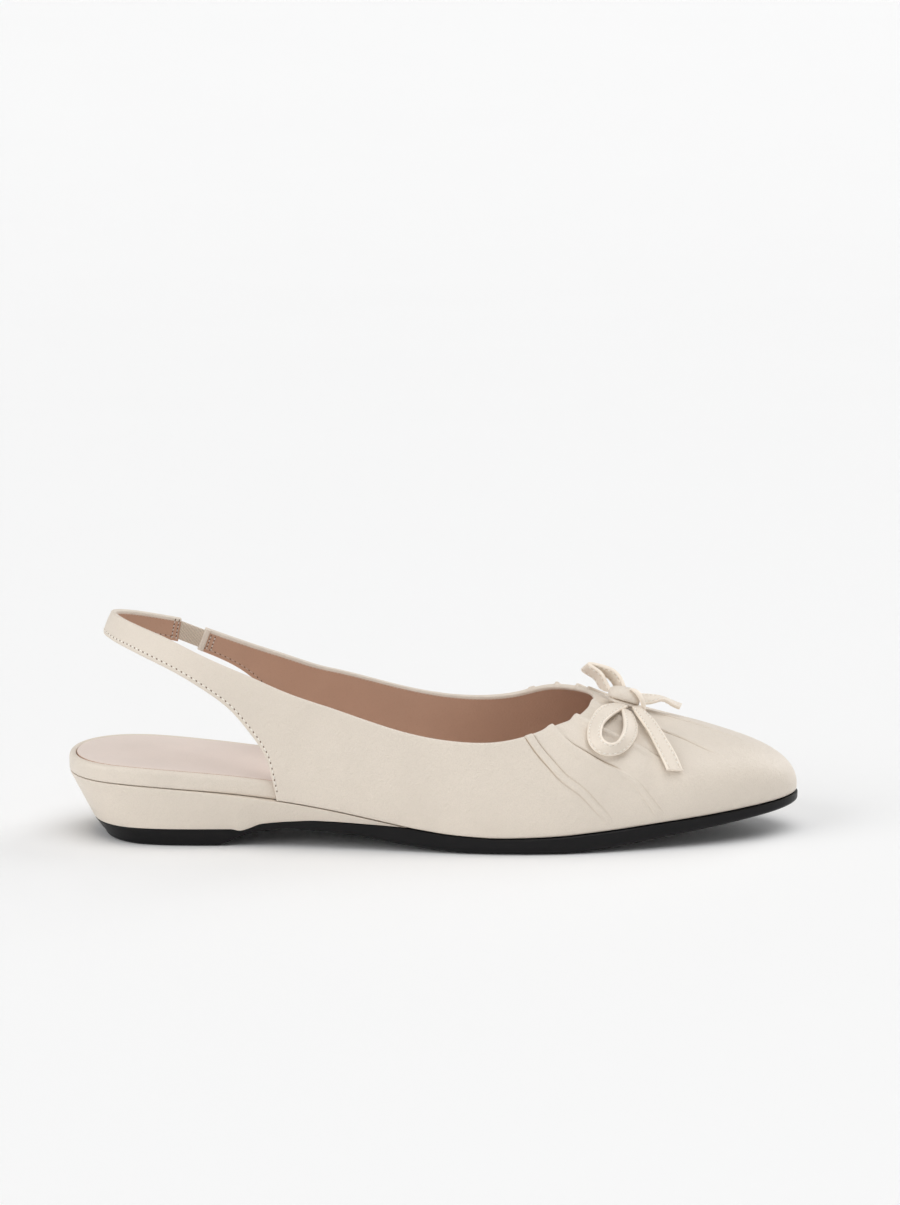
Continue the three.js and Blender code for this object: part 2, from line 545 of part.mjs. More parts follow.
// Bow. The lace is a folded strip. Each row holds its two edges, in lace widths from the knot's middle.
const knotReach = { x: 0.93, y: 0.7, z: 0.62, lean: -0.14 };
const knotAt = toplineAt(ribRows.find((row) => row.side === 'toe').along)
  .add(new THREE.Vector3(1.75, -0.54, 0.05).multiplyScalar(laceWidth));
const bowRows = {
  bow_loop_near: [
    { x: -0.56, y: -0.62, z: -0.30, x2: 0.18, y2: -0.90, z2: -0.43 },
    { x: -1.36, y: -1.31, z: -0.28, x2: -0.44, y2: -1.58, z2: -0.61 },
    { x: -1.90, y: -2.14, z: -0.57, x2: -0.98, y2: -2.47, z2: -0.77 },
    { x: -2.24, y: -3.17, z: -0.95, x2: -1.38, y2: -3.64, z2: -0.93 },
    { x: -2.36, y: -4.00, z: -1.33, x2: -1.52, y2: -4.49, z2: -1.23 },
    { x: -2.30, y: -4.59, z: -1.80, x2: -1.44, y2: -4.98, z2: -1.47 },
    { x: -1.98, y: -4.90, z: -2.18, x2: -1.21, y2: -5.19, z2: -1.60 },
    { x: -1.52, y: -5.03, z: -2.40, x2: -0.92, y2: -5.23, z2: -1.64 },
    { x: -1.01, y: -5.03, z: -2.46, x2: -0.63, y2: -5.12, z2: -1.54 },
    { x: -0.43, y: -4.81, z: -2.37, x2: -0.42, y2: -4.83, z2: -1.31 },
    { x: 0.11, y: -4.24, z: -2.10, x2: -0.27, y2: -4.24, z2: -1.10 },
    { x: 0.49, y: -3.43, z: -1.79, x2: -0.20, y2: -3.43, z2: -0.97 },
    { x: 0.67, y: -2.52, z: -1.47, x2: -0.17, y2: -2.62, z2: -0.85 },
    { x: 0.62, y: -1.69, z: -1.12, x2: -0.18, y2: -2.07, z2: -0.70 },
    { x: 0.33, y: -0.90, z: -0.74, x2: -0.20, y2: -1.35, z2: -0.48 },
  ],
  bow_loop_far: [
    { x: -0.70, y: 0.60, z: 0.22, x2: -1.02, y2: 1.10, z2: 0.16 },
    { x: -0.93, y: 0.83, z: 0.64, x2: -1.36, y2: 1.48, z2: 0.26 },
    { x: -1.15, y: 1.00, z: 1.10, x2: -1.60, y2: 1.69, z2: 0.64 },
    { x: -1.57, y: 1.21, z: 1.49, x2: -2.02, y2: 1.90, z2: 0.94 },
    { x: -1.98, y: 1.38, z: 1.77, x2: -2.42, y2: 2.07, z2: 1.22 },
    { x: -1.63, y: 1.52, z: 1.72, x2: -2.08, y2: 2.21, z2: 1.17 },
    { x: -1.21, y: 1.52, z: 1.62, x2: -1.65, y2: 2.21, z2: 1.07 },
    { x: -0.63, y: 1.34, z: 1.45, x2: -1.08, y2: 2.03, z2: 0.89 },
    { x: -0.23, y: 1.14, z: 1.14, x2: -0.68, y2: 1.83, z2: 0.59 },
    { x: -0.02, y: 0.93, z: 0.81, x2: -0.46, y2: 1.62, z2: 0.25 },
    { x: 0.09, y: 0.76, z: 0.50, x2: -0.36, y2: 1.45, z2: 0.05 },
  ],
  bow_tail_near: [
    { x: 0.42, y: -0.68, z: -0.49, x2: 0.94, y2: -0.62, z2: -0.55 },
    { x: 0.82, y: -1.97, z: -0.98, x2: 1.58, y2: -1.71, z2: -0.92 },
    { x: 1.24, y: -2.97, z: -1.52, x2: 1.97, y2: -2.66, z2: -1.32 },
    { x: 1.66, y: -3.86, z: -2.26, x2: 2.41, y2: -3.55, z2: -1.93 },
    { x: 1.99, y: -4.47, z: -2.86, x2: 2.83, y2: -4.20, z2: -2.60 },
    { x: 2.23, y: -4.83, z: -3.34, x2: 3.19, y2: -4.70, z2: -3.42 },
  ],
  bow_tail_far: [
    { x: 0.86, y: 0.42, z: 0.12, x2: 1.08, y2: -0.10, z2: -0.42 },
    { x: 1.58, y: 0.71, z: 0.01, x2: 1.69, y2: 0.14, z2: -0.42 },
    { x: 2.09, y: 1.00, z: -0.14, x2: 2.06, y2: 0.31, z2: -0.32 },
    { x: 2.57, y: 1.41, z: -0.39, x2: 2.43, y2: 0.62, z2: -0.32 },
    { x: 3.08, y: 1.72, z: -0.65, x2: 2.90, y2: 0.90, z2: -0.65 },
    { x: 3.57, y: 1.93, z: -0.86, x2: 3.41, y2: 1.14, z2: -0.93 },
  ],
};

function lace(rows, stations) {
  rows.forEach((row, i) => {
    const last = rows[i - 1] ?? row;
    const stride = Math.hypot(row.x + row.x2 - last.x - last.x2, row.y + row.y2 - last.y - last.y2, row.z + row.z2 - last.z - last.z2);
    row.along = i ? last.along + stride / 2 : 0;
  });
  const curve = {};
  for (const name of ['x', 'y', 'z', 'x2', 'y2', 'z2']) curve[name] = smooth(rows, 'along', name);
  const reach = rows.at(-1).along;
  const edges = (along) => [['x', 'y', 'z'], ['x2', 'y2', 'z2']].map((names) => (
    new THREE.Vector3(...names.map((name) => curve[name](along))).multiplyScalar(laceWidth).add(knotAt)
  ));
  const middle = (along) => {
    const [one, two] = edges(THREE.MathUtils.clamp(along, 0, reach));
    return one.add(two).multiplyScalar(0.5);
  };
  const points = [];
  const triangles = [[0, 1, 2], [0, 2, 3]];
  for (let i = 0; i <= stations; i++) {
    const along = (reach * i) / stations;
    const [one, two] = edges(along);
    const run = middle(along + 0.05).sub(middle(along - 0.05));
    const out = new THREE.Vector3().crossVectors(run, two.clone().sub(one)).setLength(laceThickness / 2);
    points.push(one.clone().add(out), two.clone().add(out), two.clone().sub(out), one.clone().sub(out));
    for (let k = 0; k < 4 && i < stations; k++) {
      const [a, b] = [4 * i + k, 4 * i + ((k + 1) % 4)];
      triangles.push([a, b + 4, b], [a, a + 4, b + 4]);
    }
  }
  const last = 4 * stations;
  triangles.push([last, last + 2, last + 1], [last, last + 3, last + 2]);
  return closedSolid(points, triangles);
}

function knot() {
  const [around, rows] = [20, 9];
  const round = (value) => Math.sign(value) * Math.abs(value) ** 0.85;
  const points = [];
  const put = (x, y, z) => points.push(new THREE.Vector3(
    x * knotReach.x,
    y * knotReach.y,
    z * knotReach.z + x * knotReach.lean,
  ).multiplyScalar(laceWidth).add(knotAt));
  for (let k = 1; k < rows; k++) {
    const tilt = (Math.PI * k) / rows;
    for (let i = 0; i < around; i++) {
      const swing = (2 * Math.PI * i) / around;
      put(round(Math.cos(tilt)), round(Math.sin(tilt)) * Math.cos(swing), round(Math.sin(tilt)) * Math.sin(swing));
    }
  }
  put(1, 0, 0);
  put(-1, 0, 0);
  const [front, back] = [points.length - 2, points.length - 1];
  const triangles = [];
  for (let i = 0; i < around; i++) {
    const j = (i + 1) % around;
    triangles.push([front, i, j], [back, (rows - 2) * around + j, (rows - 2) * around + i]);
    for (let k = 0; k < rows - 2; k++) {
      const [a, b] = [k * around + i, k * around + j];
      triangles.push([a, a + around, b + around], [a, b + around, b]);
    }
  }
  return closedSolid(points, triangles);
}

// Assembly
const cream = 0xe3dacd;
const finishes = {
  rubber: { color: 0x2b292d, roughness: 0.4, metalness: 0 },
  leather: { color: cream, roughness: 0.5, metalness: 0 },
  sockLeather: { color: 0xe0cfc5, roughness: 0.6, metalness: 0 },
  elasticTape: { color: 0xded4c5, roughness: 0.85, metalness: 0 },
};
const shoe = new THREE.Group();

function place(name, geometry, finish) {
  const mesh = new THREE.Mesh(geometry, new THREE.MeshStandardMaterial(finishes[finish]));
  mesh.name = name;
  shoe.add(mesh);
}

place('outsole', outsole(), 'rubber');
place('wedge_heel', wedge(), 'leather');
place('footbed', footbed(), 'leather');
place('insole_sock', sock(), 'sockLeather');
place('upper', upper(), 'leather');
place('strap_elastic', elastic(), 'elasticTape');
place('bow_knot', knot(), 'leather');
for (const [name, stations] of [['bow_loop_near', 42], ['bow_loop_far', 34], ['bow_tail_near', 14], ['bow_tail_far', 14]]) {
  place(name, lace(bowRows[name], stations), 'leather');
}

// Origin in the middle of the footprint, on the floor
const box = new THREE.Box3().setFromObject(shoe);
const middle = box.getCenter(new THREE.Vector3());
shoe.position.set(-middle.x, -middle.y, -box.min.z);

export default shoe;
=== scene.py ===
import bpy
import numpy as np
from bpy.props import FloatProperty, FloatVectorProperty
from mathutils import Euler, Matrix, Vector


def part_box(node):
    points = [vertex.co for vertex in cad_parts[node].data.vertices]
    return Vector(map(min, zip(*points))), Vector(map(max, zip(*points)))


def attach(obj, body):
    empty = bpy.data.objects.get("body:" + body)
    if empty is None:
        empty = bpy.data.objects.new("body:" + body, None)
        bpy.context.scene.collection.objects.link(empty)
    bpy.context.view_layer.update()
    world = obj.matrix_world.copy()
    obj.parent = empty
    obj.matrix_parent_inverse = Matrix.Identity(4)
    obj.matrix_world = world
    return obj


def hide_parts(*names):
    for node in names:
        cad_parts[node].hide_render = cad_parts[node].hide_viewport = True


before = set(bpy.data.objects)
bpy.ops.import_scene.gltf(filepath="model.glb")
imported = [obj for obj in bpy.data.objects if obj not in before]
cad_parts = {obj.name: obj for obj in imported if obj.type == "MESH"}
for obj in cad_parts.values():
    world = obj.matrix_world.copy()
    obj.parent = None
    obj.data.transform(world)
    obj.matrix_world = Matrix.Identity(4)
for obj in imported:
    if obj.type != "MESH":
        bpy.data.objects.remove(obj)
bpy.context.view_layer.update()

bl_info = {
    "name": "Slingback pump",
    "version": (1, 0, 0),
    "blender": (4, 5, 0),
    "location": "View3D > Sidebar > Pump",
    "description": "Dresses the solids of a low slingback pump with leather, lining, rubber and a lace",
    "category": "Object",
}

MM = 0.001
TWO_PI = 2 * np.pi

# Sizes of the solids, in millimetres, as their source gives them
LENGTH, BALL_WIDTH, INSTEP, STRAP_HEIGHT = 252.0, 79.0, 45.3, 77.1
HEEL_SEAT, FOREFOOT_SOLE, TOE_SPRING = 22.3, 5.4, 8.4
WALL, CLEARANCE, LEDGE = 1.8, 0.3, 0.5
LIFT_HEIGHT, ARCH_RISE, SHANK_STRIP = 6.1, 6.6, 2.3
HEEL_UNDERCUT, LIFT_UNDERCUT = 9.4, 2.5
FOOTBED_HEIGHT, RIM_WIDTH, SOCK_THICKNESS = 5.9, 2.4, 0.9
EDGE_ROUND, SOLE_INSET, LIFT_DRAFT = 2.3, 3.4, 1.2
ELASTIC_THICKNESS, ELASTIC_WIDTH, STRAP_WIDTH = 1.3, 7.0, 9.0
LACE_WIDTH, LACE_THICKNESS = 5.8, 1.4
HEEL_END, TOE_END = -LENGTH / 2 + 0.1, LENGTH / 2 - 2.6
FOOTBED_HALF = BALL_WIDTH / 2 - LEDGE - WALL - CLEARANCE
SOLE_REACH = WALL + CLEARANCE + LEDGE
WEDGE_TIP = -0.042 * LENGTH
LIFT_HEEL = HEEL_END + HEEL_UNDERCUT - SOLE_INSET
CORNER_BLEND = BALL_WIDTH / 2

OUTLINE_ROWS = (  # share of the length, lateral and medial half widths
    (0, 0, 0), (0.016, 0.425, 0.425), (0.052, 0.678, 0.655), (0.112, 0.79, 0.752), (0.188, 0.803, 0.72),
    (0.297, 0.808, 0.66), (0.393, 0.851, 0.642), (0.489, 0.927, 0.72), (0.577, 0.988, 0.89),
    (0.658, 0.978, 0.98), (0.733, 0.9, 0.94), (0.805, 0.782, 0.832), (0.876, 0.64, 0.69),
    (0.935, 0.475, 0.515), (0.975, 0.3, 0.335), (0.995, 0.13, 0.155), (1, 0, 0),
)
SEAT_ROWS = (  # share of the length, heel rise, toe spring
    (-0.02, 1.0, 0), (0.056, 0.977, 0), (0.187, 0.845, 0), (0.294, 0.668, 0), (0.357, 0.513, 0),
    (0.425, 0.31, 0), (0.48, 0.147, 0), (0.535, 0.041, 0), (0.59, 0, 0), (0.655, 0, 0.04), (0.725, 0, 0.19),
    (0.79, 0, 0.375), (0.86, 0, 0.57), (0.93, 0, 0.785), (1.02, 0, 1.05),
)
TREAD_ROWS = (  # share, arch, spring, lift, strip, grow, round, draft
    (-0.02, 0, 0, 1, 0, -1, 0.5, 1), (0.208, 0, 0, 1, 0, -1, 0.5, 1), (0.228, 0.3, 0, 1, 0, -0.93, 0.4, 0.8),
    (0.25, 0.67, 0, 0.35, 0.8, -0.75, 0.3, 0.4), (0.27, 0.87, 0, 0, 1, -0.55, 0.25, 0),
    (0.31, 1, 0, 0, 1, -0.25, 0.25, 0), (0.36, 0.89, 0, 0, 1.1, 0.1, 0.3, 0),
    (0.415, 0.64, 0, 0, 1.15, 0.38, 0.4, 0), (0.44, 0.47, 0, 0, 1.3, 0.5, 0.5, 0),
    (0.456, 0.38, 0, 0, 2.02, 0.56, 0.55, 0), (0.5, 0.15, 0, 0, 2.1, 0.75, 0.8, 0),
    (0.545, 0, 0, 0, 2.1, 0.9, 1, 0), (0.67, 0, 0, 0, 2.1, 1, 1, 0), (0.73, 0, 0.15, 0, 2.1, 1, 0.9, 0),
    (0.8, 0, 0.45, 0, 2.1, 1, 0.75, 0), (0.88, 0, 0.78, 0, 2.1, 1, 0.6, 0),
    (1.02, 0, 1.33, 0, 2.1, 1, 0.5, 0),
)
RIB_ROWS = (  # foot (x, y, z; or side and share), top, bow of the rib: low out and up, high out and up
    ((-0.3595, 0.527, 0.807), (-0.3532, 0.514, 0.919), (0.01, 0, 0.01, 0)),
    ((-0.4028, 0.367, 0.851), (-0.3929, 0.359, 0.957), (0.01, 0, 0.01, 0)),
    ((-0.4361, 0.185, 0.882), (-0.4246, 0.18, 0.987), (0.01, 0, 0.01, 0)),
    ((-0.4508, -0.010, 0.894), (-0.4377, -0.01, 1), (0.01, 0, 0.01, 0)),
    ((-0.4377, -0.203, 0.879), (-0.4262, -0.2, 0.988), (0.01, 0, 0.01, 0)),
    ((-0.4147, -0.392, 0.861), (-0.3944, -0.38, 0.958), (0.01, 0, 0.01, 0)),
    ((-0.3845, -0.557, 0.831), (-0.3611, -0.519, 0.926), (0.01, 0, 0.01, 0)),
    ((-0.3448, -0.671, 0.777), (-0.3194, -0.633, 0.869), (0.01, 0, 0.01, 0)),
    ((-0.3063, -0.742, 0.707), (-0.2738, -0.714, 0.808), (0.012, 0, 0.012, 0)),
    ((-0.2718, -0.780, 0.625), (-0.2381, -0.754, 0.761), (0.016, 0, 0.014, 0)),
    ((-0.2492, -0.800, 0.541), (-0.2063, -0.785, 0.716), (0.02, 0, 0.016, 0)),
    ((-0.2345, -0.810, 0.477), (-0.1845, -0.805, 0.689), (0.024, 0, 0.018, 0)),
    ((-0.2222, -0.815, 0.403), (-0.1667, -0.815, 0.669), (0.028, 0, 0.02, 0)),
    ((-0.2155, -0.815, 0.318), (-0.1528, -0.82, 0.654), (0.03, 0, 0.022, 0)),
    (("lateral", 0.2935), (-0.1409, -0.828, 0.642), (0.032, 0, 0.024, 0)),
    (("lateral", 0.4), (-0.05, -0.896, 0.548), (0.045, 0, 0.045, 0)),
    (("lateral", 0.5), (0.02, -0.912, 0.502), (0.055, 0, 0.055, 0)),
    (("lateral", 0.6), (0.08, -0.885, 0.493), (0.06, 0, 0.06, 0)),
    (("lateral", 0.69), (0.125, -0.8, 0.515), (0.09, 0.02, 0.08, 0.01)),
    (("lateral", 0.77), (0.159, -0.65, 0.541), (0.16, 0.06, 0.13, 0.03)),
    (("lateral", 0.85), (0.1900, -0.44, 0.557), (0.29, 0.12, 0.2, 0.05)),
    (("lateral", 0.93), (0.2100, -0.2, 0.581), (0.47, 0.17, 0.23, -0.02)),
    (("toe", 1), (0.2193, 0.013, 0.604), (0.58, 0.19, 0.26, -0.03)),
    (("medial", 0.93), (0.2140, 0.215, 0.616), (0.47, 0.17, 0.23, -0.02)),
    (("medial", 0.85), (0.1950, 0.4, 0.616), (0.3, 0.12, 0.2, 0.055)),
    (("medial", 0.77), (0.159, 0.59, 0.603), (0.17, 0.06, 0.13, 0.03)),
    (("medial", 0.69), (0.12, 0.745, 0.557), (0.1, 0.02, 0.08, 0.01)),
    (("medial", 0.6), (0.075, 0.835, 0.529), (0.08, 0, 0.06, 0)),
    (("medial", 0.5), (0.015, 0.875, 0.532), (0.1, 0, 0.06, 0)),
    (("medial", 0.4), (-0.055, 0.865, 0.577), (0.11, 0, 0.06, 0)),
    (("medial", 0.3), (-0.138, 0.8, 0.654), (0.09, 0, 0.05, 0)),
    ((-0.21, 0.7, 0.315), (-0.155, 0.785, 0.668), (0.075, 0, 0.045, 0)),
    ((-0.2185, 0.725, 0.42), (-0.177, 0.76, 0.692), (0.055, 0, 0.04, 0)),
    ((-0.233, 0.72, 0.525), (-0.205, 0.725, 0.727), (0.04, 0, 0.03, 0)),
    ((-0.257, 0.69, 0.62), (-0.24, 0.68, 0.769), (0.03, 0, 0.02, 0)),
    ((-0.288, 0.64, 0.695), (-0.276, 0.625, 0.815), (0.02, 0, 0.015, 0)),
    ((-0.33, 0.582, 0.763), (-0.3171, 0.572, 0.868), (0.01, 0, 0.01, 0)),
)


def natural(u, v):
    """Natural cubic curves through the columns of v."""
    u, v = np.asarray(u, float), np.asarray(v, float).reshape(len(u), -1)
    n, step = len(u), np.diff(u)
    system, bend = np.eye(n), np.zeros_like(v)
    for i in range(1, n - 1):
        system[i, i - 1:i + 2] = step[i - 1], 2 * (step[i - 1] + step[i]), step[i]
        bend[i] = 6 * ((v[i + 1] - v[i]) / step[i] - (v[i] - v[i - 1]) / step[i - 1])
    bend = np.linalg.solve(system, bend)

    def curve(x):
        x = np.asarray(x, float)
        i = np.clip(np.searchsorted(u, x, side="left") - 1, 0, n - 2)
        b = ((x - u[i]) / step[i])[..., None]
        a = 1 - b
        lift = (a**3 - a) * bend[i] + (b**3 - b) * bend[i + 1]
        out = a * v[i] + b * v[i + 1] + lift * (step[i] ** 2)[..., None] / 6
        return out[..., 0] if v.shape[1] == 1 else out

    return curve


def steady(u, v):
    """A curve that never swings past its rows, so level rows stay flat."""
    u, v = np.asarray(u, float), np.asarray(v, float)
    rise = np.diff(v) / np.diff(u)
    slope = np.empty_like(v)
    slope[0], slope[-1] = rise[0], rise[-1]
    product, total = rise[:-1] * rise[1:], rise[:-1] + rise[1:]
    slope[1:-1] = np.where(product <= 0, 0, 2 * product / np.where(product <= 0, 1, total))

    def curve(x):
        x = np.clip(np.asarray(x, float), u[0], u[-1])
        i = np.clip(np.searchsorted(u, x, side="left") - 1, 0, len(u) - 2)
        step = u[i + 1] - u[i]
        t = (x - u[i]) / step
        level = v[i] * (1 + 2 * t) * (1 - t) ** 2 + v[i + 1] * (3 - 2 * t) * t**2
        return level + step * (slope[i] * t * (1 - t) ** 2 - slope[i + 1] * (1 - t) * t**2)

    return curve


def smoothstep(x, low, high):
    x = np.clip((x - low) / (high - low), 0, 1)
    return x * x * (3 - 2 * x)


def unit(vectors):
    return vectors / np.maximum(np.linalg.norm(vectors, axis=-1, keepdims=True), 1e-9)


def measured(points):
    """Distance of each point from the first, along the line through them."""
    return np.r_[0, np.cumsum(np.linalg.norm(np.diff(points, axis=0), axis=1))]


def bell(x, width, power=2):
    return np.exp(-((x / width) ** power))


def full(value, power):
    """A sine or cosine raised to a power with its sign kept, for round sections with flatter sides."""
    return np.sign(value) * np.abs(value) ** power


def all_round(count):
    return np.linspace(0, TWO_PI, count, endpoint=False)


# Outline in plan. A turn walks it: 0 at the heel, along the lateral side to 1 at the toe, and back to 2.
def to_turn(at):
    return np.arccos(1 - 2 * np.asarray(at, float)) / np.pi


outline_side = natural(to_turn([row[0] for row in OUTLINE_ROWS]), [row[1:] for row in OUTLINE_ROWS])


def outline_point(turn, heel=HEEL_END):
    turn = np.mod(turn, 2)
    lateral = turn <= 1
    side = np.where(lateral, turn, 2 - turn)
    share = outline_side(side)
    y = np.where(lateral, -share[..., 0], share[..., 1])
    return np.stack([heel + (1 - np.cos(np.pi * side)) / 2 * (TOE_END - heel), y * FOOTBED_HALF], -1)


def outward(turn, heel=HEEL_END):
    run = unit(outline_point(turn + 0.004, heel) - outline_point(turn - 0.004, heel))
    return np.stack([run[..., 1], -run[..., 0]], -1)


def share_of(x):
    return (x + LENGTH / 2) / LENGTH


def columns(rows):
    shares = [row[0] for row in rows]
    return [steady(shares, [row[k] for row in rows]) for k in range(1, len(rows[0]))]


seat_rise, seat_spring = columns(SEAT_ROWS)
tread_arch, tread_spring, tread_lift, tread_strip, tread_grow, tread_round, tread_draft = columns(TREAD_ROWS)
wedge_grow, = columns(((-0.02, 0), (0.12, 0), (0.29, 1), (0.5, 1)))
footbed_deep, = columns(((-0.02, 1), (0.3, 1), (0.55, 0.75), (1.02, 0.6)))


def seat(x):
    """Height of the feather line."""
    at = share_of(x)
    return FOREFOOT_SOLE + (HEEL_SEAT - FOREFOOT_SOLE) * seat_rise(at) + TOE_SPRING * seat_spring(at)


def underside(x):
    at = share_of(x)
    return ARCH_RISE * tread_arch(at) + TOE_SPRING * tread_spring(at)


def outsole_top(x):
    at = share_of(x)
    strip = ARCH_RISE * tread_arch(at) + SHANK_STRIP * tread_strip(at)
    lift = tread_lift(at)
    covered = lift * LIFT_HEIGHT + (1 - lift) * strip
    past = np.clip(x - WEDGE_TIP - 0.5, 0, 1)
    return np.minimum(covered, seat(x)) * (1 - past) + seat(x) * past


def sole_edge(x):
    grow = tread_grow(share_of(x))
    return grow * np.where(grow < 0, SOLE_INSET, SOLE_REACH)


def sole_top_edge(x):
    return sole_edge(x) + LIFT_DRAFT * tread_draft(share_of(x))


def crest(x):
    return seat(x) + CLEARANCE + FOOTBED_HEIGHT * footbed_deep(share_of(x))


def sock_seat(x):
    return crest(x) - 0.3 * RIM_WIDTH - SOCK_THICKNESS


def ring(turns, heel, grow, height):
    """A closed row of points: the outline grown outwards, with its height."""
    at = outline_point(turns, heel)
    grown = grow(at[:, 0]) if callable(grow) else grow
    plan = at + outward(turns, heel) * np.reshape(grown, (-1, 1))
    return np.column_stack([plan, height(plan[:, 0])])


# Upper: ribs from the lower edge to the topline, walked by the distance along it
def feather(turn):
    plan = outline_point(turn) + outward(turn) * (WALL + CLEARANCE)
    return np.concatenate([plan, (seat(plan[..., 0]) + CLEARANCE)[..., None]], -1)


REACH = np.array([LENGTH, BALL_WIDTH / 2, STRAP_HEIGHT])
rib_turns = [None if len(foot) == 3 else (2 - to_turn(foot[1]) if foot[0] == "medial" else to_turn(foot[1]))
             for foot, top, push in RIB_ROWS]
rib_feet = np.array([np.array(foot) * REACH if turn is None else feather(turn)
                     for (foot, top, push), turn in zip(RIB_ROWS, rib_turns)])
rib_tops = np.array([row[1] for row in RIB_ROWS]) * REACH
RIB_ALONG = measured((rib_feet + rib_tops) / 2)
on_feather = [i for i, turn in enumerate(rib_turns) if turn is not None]
FIRST, LAST = on_feather[0], on_feather[-1]
LATERAL_CORNER, MEDIAL_CORNER, RIB_END = RIB_ALONG[FIRST], RIB_ALONG[LAST], RIB_ALONG[-1]
strap_foot = natural(RIB_ALONG[:FIRST + 1], rib_feet[:FIRST + 1])
tip_foot = natural(RIB_ALONG[LAST:], rib_feet[LAST:])
feather_turn = natural(RIB_ALONG[FIRST:LAST + 1], rib_turns[FIRST:LAST + 1])
feather_along = natural(rib_turns[FIRST:LAST + 1], RIB_ALONG[FIRST:LAST + 1])
topline = natural(RIB_ALONG, rib_tops)
rib_push = natural(RIB_ALONG, [row[2] for row in RIB_ROWS])


def on_sole(along):
    return (along >= LATERAL_CORNER) & (along <= MEDIAL_CORNER)


def rib_foot(along):
    strap = strap_foot(np.minimum(along, LATERAL_CORNER))
    tip = tip_foot(np.maximum(along, MEDIAL_CORNER))
    sole = feather(feather_turn(np.clip(along, LATERAL_CORNER, MEDIAL_CORNER)))
    free = np.where((along < LATERAL_CORNER)[..., None], strap, tip)
    return np.where(on_sole(along)[..., None], sole, free)


def top_normal(along):
    run = topline(np.minimum(along + 0.5, RIB_END)) - topline(np.maximum(along - 0.5, 0))
    return unit(np.stack([run[..., 1], -run[..., 0], np.zeros_like(along)], -1))


def skin(along, t):
    """Points of the upper's outer face. along and t broadcast together."""
    along, t = np.broadcast_arrays(np.asarray(along, float), np.asarray(t, float))
    out_top = top_normal(along)
    plan = outward(feather_turn(np.clip(along, LATERAL_CORNER, MEDIAL_CORNER)))
    plan = np.concatenate([plan, np.zeros(along.shape + (1,))], -1)
    share = smoothstep(np.minimum(along - LATERAL_CORNER, MEDIAL_CORNER - along), 0, CORNER_BLEND)[..., None]
    out_foot = np.where(on_sole(along)[..., None], unit(out_top * (1 - share) + plan * share), out_top)
    foot, top, push = rib_foot(along), topline(along), rib_push(along) * INSTEP
    low = foot + (top - foot) / 3 + out_foot * push[..., 0:1]
    high = foot + (top - foot) * 2 / 3 + out_top * push[..., 2:3]
    low[..., 2] += push[..., 1]
    high[..., 2] += push[..., 3]
    t = t[..., None]
    return (1 - t) ** 3 * foot + 3 * t * (1 - t) ** 2 * low + 3 * t**2 * (1 - t) * high + t**3 * top


def skin_frame(along, t):
    """The face's outward normal and its upward direction."""
    along, t = np.broadcast_arrays(np.asarray(along, float), np.asarray(t, float))
    across = skin(along, np.minimum(t + 0.02, 1)) - skin(along, np.maximum(t - 0.02, 0))
    ahead = skin(np.minimum(along + 0.5, RIB_END), t) - skin(np.maximum(along - 0.5, 0), t)
    normal = unit(np.cross(ahead, across))
    fade = np.where(on_sole(along) & (t < 0.1), t / 0.1, 1)
    normal[..., 2] *= fade
    return unit(normal), unit(across)


# Shader maths
class Wire:
    """A socket that takes part in Python expressions on values."""

    def __init__(self, finish, socket):
        self.finish, self.socket = finish, socket

    def math(self, operation, *values):
        return self.finish.node("ShaderNodeMath", {"operation": operation}, dict(enumerate(values)))

    def __add__(self, other):
        return self.math("ADD", self, other)

    def __sub__(self, other):
        return self.math("SUBTRACT", self, other)

    def __rsub__(self, other):
        return self.math("SUBTRACT", other, self)

    def __mul__(self, other):
        return self.math("MULTIPLY", self, other)

    __radd__, __rmul__ = __add__, __mul__

    def ramp(self, low, high):
        """0 below low, 1 above high, smooth between."""
        return self.finish.node("ShaderNodeMapRange", {"interpolation_type": "SMOOTHSTEP"},
                                {"Value": self, "From Min": low, "From Max": high})


